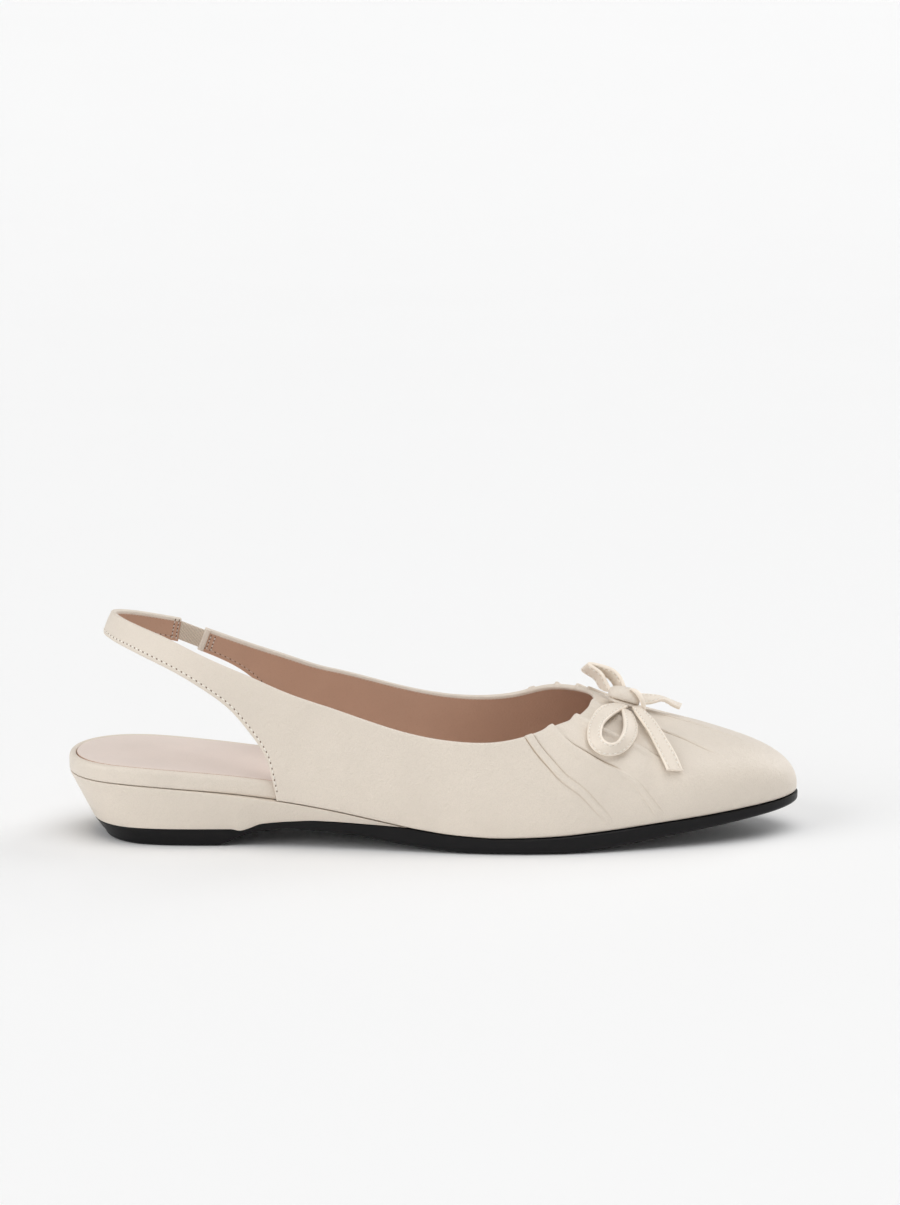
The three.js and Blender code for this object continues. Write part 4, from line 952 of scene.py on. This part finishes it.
def strand_mesh():
    rows = np.array(STRAND)
    chord = measured(rows[:, :3])
    stations, around = 44, 24
    row = natural(chord, rows)(np.linspace(0, chord[-1], stations)) * LACE_WIDTH
    ahead = unit(np.gradient(row[:, :3], axis=0))
    out = row[:, :3] * (1, 1, 0.9)
    out = unit(out - np.einsum("ij,ij->i", out, ahead)[:, None] * ahead)
    side = np.cross(ahead, out)
    swing = all_round(around)
    wide, thick = full(np.cos(swing), 0.8), full(np.sin(swing), 0.8)
    loop = (row[:, None, :3] + side[:, None] * wide[None, :, None] * row[:, None, 3:4]
            + out[:, None] * thick[None, :, None] * row[:, None, 4:5]) + KNOT_AT
    return loop.reshape(-1, 3), grid_faces(stations, around) + cap_faces(stations, around)


THREAD_SHARE = 0.62  # the part of the pitch that the thread covers


def thread_run(points, normals, pitch, radius=0.17):
    """Stitches along a line of points: where each thread lies, which way it runs and which way is out."""
    chord = measured(points)
    count = int(chord[-1] / pitch)
    starts = (chord[-1] - count * pitch) / 2 + np.arange(count) * pitch

    def along(distance, values):
        return np.stack([np.interp(distance, chord, values[:, k]) for k in range(3)], -1)

    one, two = along(starts, points), along(starts + pitch * THREAD_SHARE, points)
    out = unit(along(starts + pitch * THREAD_SHARE / 2, normals))
    between = starts + pitch * (1 + THREAD_SHARE) / 2
    hole, hole_out = along(between, points), unit(along(between, normals))
    return one, two, out, hole, unit(two - one), hole_out, radius


def thread_mesh(runs):
    """Small rounded threads, dipping into the leather at both ends."""
    around, rows = 6, 7
    k = np.linspace(0, 1, rows)
    girth = np.sqrt(np.clip(1 - (2 * k - 1) ** 4, 0, 1)) * 0.9 + 0.1
    dip = (2 * k - 1) ** 4
    swing = all_round(around)
    points, faces = [], []
    for one, two, out, _, ahead, _, radius in runs:
        side = unit(np.cross(ahead, out))
        for a, b, n, s in zip(one, two, out, side):
            spine = a + (b - a) * k[:, None] + n * (radius * (0.55 - 1.25 * dip))[:, None]
            turn = np.cos(swing)[None, :, None] * s + np.sin(swing)[None, :, None] * n
            loop = spine[:, None] + turn * (girth * radius)[:, None, None]
            base = sum(map(len, points))
            points.append(loop.reshape(-1, 3))
            faces += grid_faces(rows, around, offset=base)
            faces += [[base + i for i in face] for face in end_faces(rows, around)]
    return np.vstack(points), faces


def hole_mesh(runs, size):
    """Needle holes: small flat lozenges a hair above the leather, each turned a little across the seam, dark
    with the painted shade of the holes.
    """
    around = 8
    swing = all_round(around)
    points, faces = [], []
    for _, _, _, hole, ahead, out, _ in runs:
        side = unit(np.cross(ahead, out))
        slant = unit(ahead + 0.35 * side)
        cross = unit(np.cross(slant, out))
        for h, n, a, s in zip(hole, out, slant, cross):
            base = len(points) * (around + 2)
            rim = h + (np.cos(swing)[:, None] * a * 1.25 + np.sin(swing)[:, None] * s * 0.8) * size - n * 0.05
            points.append(np.vstack([rim, [h + n * 0.045, h - n * 0.12]]))
            for i in range(around):
                j = (i + 1) % around
                faces.append([base + i, base + j, base + around])
                faces.append([base + j, base + i, base + around + 1])
    return np.vstack(points), faces


def on_skin(along, t, inside=False):
    """Points and normals on the finished skin, folds included, or on the lining."""
    normal, _ = skin_frame(along, t)
    points = skin(along, t)
    if inside:
        return points - normal * WALL, -normal
    return points + normal * fold_height(along, t, points, normal)[:, None], normal


def from_edge(along, distance, end):
    """The share up each rib that lies a distance in from its topline (end 1) or its foot (end 0)."""
    t = np.linspace(0, 1, 60)
    runs = [measured(rib) for rib in skin(along[:, None], t[None])]
    return np.array([np.interp(run[-1] - distance if end else distance, run, t) for run in runs])


def tip_fold_mesh():
    """The inner quarter's tip, turned over the lining in a narrow fold that the elastic goes into."""
    rows = np.linspace(0.01, 0.985, 26)
    section = ((1.6, 1.72), (1.62, 2.0), (1.5, 2.16), (1.3, 2.24), (0.9, 2.28), (0.4, 2.3), (0.1, 2.28),
               (-0.2, 2.2), (-0.38, 1.9), (-0.42, 1.5), (-0.42, 0.7), (-0.36, 0.35), (-0.2, 0.14),
               (0.0, 0.06), (0.3, 0.2),
               (0.6, 0.9), (0.9, 1.5), (1.3, 1.7))
    at_tip = skin(np.full(26, RIB_END), rows)
    before = skin(np.full(26, RIB_END - 2.0), rows)
    ahead = unit(at_tip - before)
    out = skin_frame(np.full(26, RIB_END), rows)[0]
    loop = np.stack([at_tip - ahead * back - out * depth for back, depth in section], 1)
    around = len(section)
    return loop.reshape(-1, 3), grid_faces(26, around) + end_faces(26, around)


def elastic_mesh():
    """The elastic tape, ribbed along its length, in the middle of the strap's wall."""
    band = (1 - ELASTIC_WIDTH / STRAP_WIDTH) / 2
    ends = []
    for along in (0.0, RIB_END):
        t = np.array([band, 1 - band])
        ends.append(skin(along, t) - skin_frame(along, t)[0] * WALL / 2)
    run = unit(ends[1] - ends[0])
    one, two = ends[0] + run * CLEARANCE, ends[1] - run * CLEARANCE
    out = unit(np.cross(one[1] - one[0], run[0]))
    across, stations = 85, 40
    u = np.linspace(0, 1, across)
    v = np.linspace(0, 1, stations)[:, None, None]
    start, end = (line[0] + (line[1] - line[0]) * u[:, None] for line in (one, two))
    flat = start * (1 - v) + end * v
    ribs = 0.1 * np.abs(np.sin(u * np.pi * 12)) - 0.1
    half = ELASTIC_THICKNESS / 2 + ribs - 0.35 * (np.abs(2 * u - 1) ** 12)
    front, back = flat + out * half[None, :, None], flat - out * half[None, :, None]
    loop = np.concatenate([front, back[:, ::-1]], 1)
    around = loop.shape[1]
    faces = grid_faces(stations, around)
    for row in (0, stations - 1):
        base, far = row * around, (row + 1) * around - 1
        strip = [[base + i, base + i + 1, far - 1 - i, far - i] for i in range(across - 1)]
        faces += [face[::-1] for face in strip] if row == 0 else strip
    return loop.reshape(-1, 3), faces


# What a user may change
def colour_of(title, text, value):
    return FloatVectorProperty(name=title, description=text, default=value, subtype="COLOR", size=3,
                               min=0, max=1)


class PumpColours(bpy.types.PropertyGroup):
    leather: colour_of("Leather", "Cream leather of the upper, heel cover and lace", (0.77, 0.689, 0.594))
    lining: colour_of("Lining", "Lining inside the quarters and the vamp", (0.535, 0.329, 0.233))
    sock: colour_of("Sock", "Sock under the foot", (0.77, 0.665, 0.6))
    rubber: colour_of("Sole", "Rubber of the outsole and heel lift", (0.0045, 0.0042, 0.0048))
    elastic: colour_of("Elastic", "Elastic tape in the heel strap", (0.72, 0.62, 0.51))
    thread: colour_of("Thread", "Stitching on the leather", (0.93, 0.88, 0.8))
    lining_thread: colour_of("Lining thread", "Stitching on the lining", (0.62, 0.46, 0.37))
    floor: colour_of("Floor", "Pale studio floor", (0.93, 0.93, 0.93))


class PumpSizes(bpy.types.PropertyGroup):
    stitch: FloatProperty(name="Stitch", description="Length of one stitch with its gap", default=2.0 * MM,
                          unit="LENGTH", min=0.001, max=0.005)
    seam_inset: FloatProperty(name="Seam inset", description="Distance from an edge to its stitch line",
                              default=1.5 * MM, unit="LENGTH", min=0.0005, max=0.004)
    grain: FloatProperty(name="Grain", description="Width of one pebble of the leather's grain",
                         default=0.42 * MM, unit="LENGTH", min=0.0001, max=0.003)
    gloss: FloatProperty(name="Roughness", description="Roughness of the leather", default=0.42,
                         min=0.1, max=1.0, subtype="FACTOR")


def colours():
    return bpy.context.scene.pump_colours


def sizes():
    return bpy.context.scene.pump_sizes


# Maker, material, colour in the panel and its lightness. For leather also a share of the grain
# and what is added to the roughness
FINISHES = {
    "leather": (leather_finish, "cream_leather", "leather", 1.0, 1.0, 0.0),
    "lining": (lining_finish, "lining_leather", "lining", 1.0),
    "sock": (lining_finish, "sock_leather", "sock", 1.0),
    "rubber": (rubber_finish, "sole_rubber", "rubber", 1.0),
    "elastic": (elastic_finish, "elastic_tape", "elastic", 1.0),
    # Lighter copy of the cream leather for the lace: painted light
    "lace_middle": (leather_finish, "lace_leather", "leather", 1.1, 0.8, 0.0),
    # A still lighter, glossier copy for the lace's rolled edges: a painted highlight
    "lace_edge": (leather_finish, "lace_edge_leather", "leather", 1.25, 0.7, -0.06),
    "thread": (thread_finish, "cream_thread", "thread", 1.0),
    "lining_thread": (thread_finish, "lining_thread", "lining_thread", 1.0),
    # A darker copy of the cream thread for the stitches on the strap ends' inner face: painted shade
    "end_thread": (thread_finish, "strap_end_thread", "thread", 0.72),
    # Very dark lining colour for the needle holes: painted shade inside them
    "hole": (hole_shade_finish, "needle_hole", "lining", 0.3),
    "floor": (floor_finish, "studio_floor", "floor", 1.0),
}
made_finishes = {}


def finish(kind):
    """Each material is made once, from the colours and sizes in the panel."""
    if kind not in made_finishes:
        maker, name, tone, light, *leather = FINISHES[kind]
        extras = [sizes().grain * leather[0], sizes().gloss + leather[1]] if leather else []
        made_finishes[kind] = maker(name, shade(getattr(colours(), tone), light), *extras)
    return made_finishes[kind]


SENSOR, FOCAL_PIXELS, FRAME_PIXELS = 36.0, 2950.0, 1205.0
CAMERA_AT, CAMERA_DOWN = (0.0055, -0.9978, 0.2471), 9.54


class PUMP_OT_camera(bpy.types.Operator):
    """Stand the camera where the photograph was taken"""
    bl_idname = "pump.camera"
    bl_label = "Camera"

    def execute(self, context):
        camera = bpy.data.cameras.new("camera")
        camera.sensor_width = SENSOR
        camera.lens = SENSOR * FOCAL_PIXELS / FRAME_PIXELS
        camera.clip_end = 50.0
        made = placed("camera", camera)
        made.location = CAMERA_AT
        made.rotation_euler = Euler((np.radians(90 - CAMERA_DOWN), 0, 0))
        context.scene.camera = made
        return {"FINISHED"}


class PUMP_OT_sole(bpy.types.Operator):
    """Outsole with its heel lift, and the covered wedge between it and the footbed"""
    bl_idname = "pump.sole"
    bl_label = "Sole and wedge"

    def execute(self, context):
        loft("sole_rubber", outsole_rings(), [finish("rubber")], "rubber", ["outsole"], sharp=35)
        loft("wedge_cover", wedge_rings(), [finish("leather")], "leather", ["wedge_heel"], sharp=40)
        return {"FINISHED"}


class PUMP_OT_footbed(bpy.types.Operator):
    """Covered footbed with its rolled rim, and the sock let into it"""
    bl_idname = "pump.footbed"
    bl_label = "Footbed and sock"

    def execute(self, context):
        loft("footbed_cover", footbed_rings(), [finish("leather")], "leather", ["footbed"], sharp=60)
        loft("sock_cover", sock_rings(), [finish("sock"), finish("lining")], "sock_leather", ["insole_sock"],
             sharp=60, second=3)
        return {"FINISHED"}


class PUMP_OT_upper(bpy.types.Operator):
    """Vamp, quarters and sling strap in one skin, with the gathered folds and the lining"""
    bl_idname = "pump.upper"
    bl_label = "Upper"

    def execute(self, context):
        points, faces, parts = upper_mesh()
        build("upper_skin", points, faces, [finish("leather"), finish("lining")], "leather", ["upper"],
              parts=parts, sharp=60)
        build("tip_fold", *tip_fold_mesh(), [finish("leather")], "leather", sharp=60)
        build("elastic_tape", *elastic_mesh(), [finish("elastic")], "elastic", ["strap_elastic"], sharp=50)
        return {"FINISHED"}


class PUMP_OT_stitches(bpy.types.Operator):
    """Stitching along the strap and the rear edges, at the elastic and on the inner seam"""
    bl_idname = "pump.stitches"
    bl_label = "Stitches"

    def execute(self, context):
        pitch, inset = sizes().stitch / MM, sizes().seam_inset / MM
        leather_runs, lining_runs, end_runs = [], [], []
        for low, high, count in ((1.0, LATERAL_CORNER - 0.6, 260), (MEDIAL_CORNER + 0.6, RIB_END - 1.0, 120)):
            along = np.linspace(low, high, count)
            t = from_edge(along, inset, 0)
            leather_runs.append(thread_run(*on_skin(along, t), pitch, radius=0.2))
            lining_runs.append(thread_run(*on_skin(along, t, inside=True), pitch))
        t = np.linspace(0.02, 0.95, 60)
        for step in (-0.85, 0.85):
            leather_runs.append(thread_run(*on_skin(np.full(60, SEAM_AT + step), t), 1.5, radius=0.13))
        for at, across in ((0.9, (0.08, 0.92)), (2.5, (0.08, 0.92)), (RIB_END - 2.4, (0.1, 0.86)),
                           (RIB_END - 4.0, (0.1, 0.86))):
            t = np.linspace(*across, 20)
            end_runs.append(thread_run(*on_skin(np.full(20, at), t, inside=True), 1.35, radius=0.2))
            leather_runs.append(thread_run(*on_skin(np.full(20, at), t), 1.35, radius=0.16))
        along = np.linspace(2, RIB_END - 2, 700)
        t = from_edge(along, 1.35, 1)
        lining_runs.append(thread_run(*on_skin(along, t, inside=True), 1.3, radius=0.1))
        for name, runs, kind in (("leather_stitches", leather_runs, "thread"),
                                 ("lining_stitches", lining_runs, "lining_thread"),
                                 ("strap_end_stitches", end_runs, "end_thread")):
            build(name, *thread_mesh(runs), [finish(kind)], "leather")
        holes = hole_mesh(leather_runs + lining_runs[:2] + end_runs, size=0.58)
        build("needle_holes", *holes, [finish("hole")], "leather")
        return {"FINISHED"}


class PUMP_OT_bow(bpy.types.Operator):
    """Lace tied in a bow on the throat: knot, two loops and two ends, each with its stitch lines"""
    bl_idname = "pump.bow"
    bl_label = "Bow"

    def execute(self, context):
        runs = []
        for name, rows in LACES.items():
            lace = Lace(rows)
            stations = int(lace.length() / 0.4)
            points, faces, parts = lace.mesh(stations)
            build(name + "_lace", points, faces, [finish("lace_middle"), finish("lace_edge")], "leather",
                  [name], parts=parts, sharp=50)
            one, two, out = lace.frame(np.linspace(0.02, 0.98, 200))
            depth = LACE_THICKNESS / 2 - STITCH_DENT
            for across in (LACE_SEAM / LACE_WIDTH, 1 - LACE_SEAM / LACE_WIDTH):
                for side in (1, -1):
                    line = one + (two - one) * across + out * side * depth
                    runs.append(thread_run(line, out * side, 1.85, radius=0.2))
        build("knot_turn", *knot_mesh(), [finish("leather")], "leather", ["bow_knot"], sharp=70)
        # The strand over the knot takes the lighter lace-edge finish: a painted highlight
        build("knot_strand", *strand_mesh(), [finish("lace_edge")], "leather", sharp=60)
        build("lace_stitches", *thread_mesh(runs), [finish("thread")], "leather")
        build("lace_holes", *hole_mesh(runs, size=0.2), [finish("hole")], "leather")
        return {"FINISHED"}


LIGHTS = (  # name, where it shines from, spread in degrees, strength
    ("left_light", (-0.8, -0.5, 0.38), 44, 1.38),
    ("right_light", (0.7, 0.56, 0.48), 44, 0.96),
    ("top_light", (0.2, -0.2, 0.95), 56, 1.38),
)
# Floor and the low wall it runs up into, all round: (distance from the middle, height) in metres
FLOOR_PROFILE = ((1.2, 0.0), (2.6, 0.0), (3.2, 0.01), (3.9, 0.06), (4.7, 0.18), (5.5, 0.38), (6.3, 0.66),
                 (7.1, 1.02), (7.8, 1.42), (8.3, 1.85))


class PUMP_OT_stage(bpy.types.Operator):
    """Pale floor that curves up behind, and soft studio light"""
    bl_idname = "pump.stage"
    bl_label = "Stage"

    def execute(self, context):
        around = 96
        swing = all_round(around)
        points = np.vstack([
            np.column_stack([reach * np.cos(swing), reach * np.sin(swing), np.full(around, rise)])
            for reach, rise in FLOOR_PROFILE])
        faces = [face[::-1] for face in grid_faces(len(FLOOR_PROFILE), around)]
        faces.append(list(range(around)))
        mesh = bpy.data.meshes.new("studio_floor")
        mesh.from_pydata(points.tolist(), [], faces)
        mesh.materials.append(finish("floor"))
        mesh.shade_smooth()
        floor = placed("studio_floor", mesh)
        for name, towards, spread, power in LIGHTS:
            light = bpy.data.lights.new(name, "SUN")
            light.angle, light.energy = np.radians(spread), power
            placed(name, light).rotation_euler = Vector(towards).to_track_quat("Z", "Y").to_euler()
        world = bpy.data.worlds.new("studio")
        world.use_nodes = True
        back = world.node_tree.nodes["Background"]
        back.inputs["Color"].default_value = (1, 1, 1, 1)
        back.inputs["Strength"].default_value = 0.28
        context.scene.world = world
        context.scene.view_settings.view_transform = "Standard"
        return {"FINISHED"}


OPERATORS = (PUMP_OT_camera, PUMP_OT_sole, PUMP_OT_footbed, PUMP_OT_upper, PUMP_OT_stitches, PUMP_OT_bow,
             PUMP_OT_stage)


class PUMP_PT_panel(bpy.types.Panel):
    """Lists the pieces of the pump with their sizes and colours"""
    bl_idname = "PUMP_PT_panel"
    bl_label = "Slingback pump"
    bl_space_type = "VIEW_3D"
    bl_region_type = "UI"
    bl_category = "Pump"

    def draw(self, context):
        layout = self.layout
        for group in (context.scene.pump_sizes, context.scene.pump_colours):
            for name in type(group).__annotations__:
                layout.prop(group, name)
        for operator in OPERATORS:
            layout.operator(operator.bl_idname)


CLASSES = (PumpColours, PumpSizes, *OPERATORS, PUMP_PT_panel)


def register():
    for cls in CLASSES:
        bpy.utils.register_class(cls)
    bpy.types.Scene.pump_colours = bpy.props.PointerProperty(type=PumpColours)
    bpy.types.Scene.pump_sizes = bpy.props.PointerProperty(type=PumpSizes)


def unregister():
    del bpy.types.Scene.pump_colours, bpy.types.Scene.pump_sizes
    for cls in reversed(CLASSES):
        bpy.utils.unregister_class(cls)


def main():
    register()
    for operator in OPERATORS:
        getattr(bpy.ops.pump, operator.bl_idname.split(".")[1])()


if __name__ == "__main__":
    main()
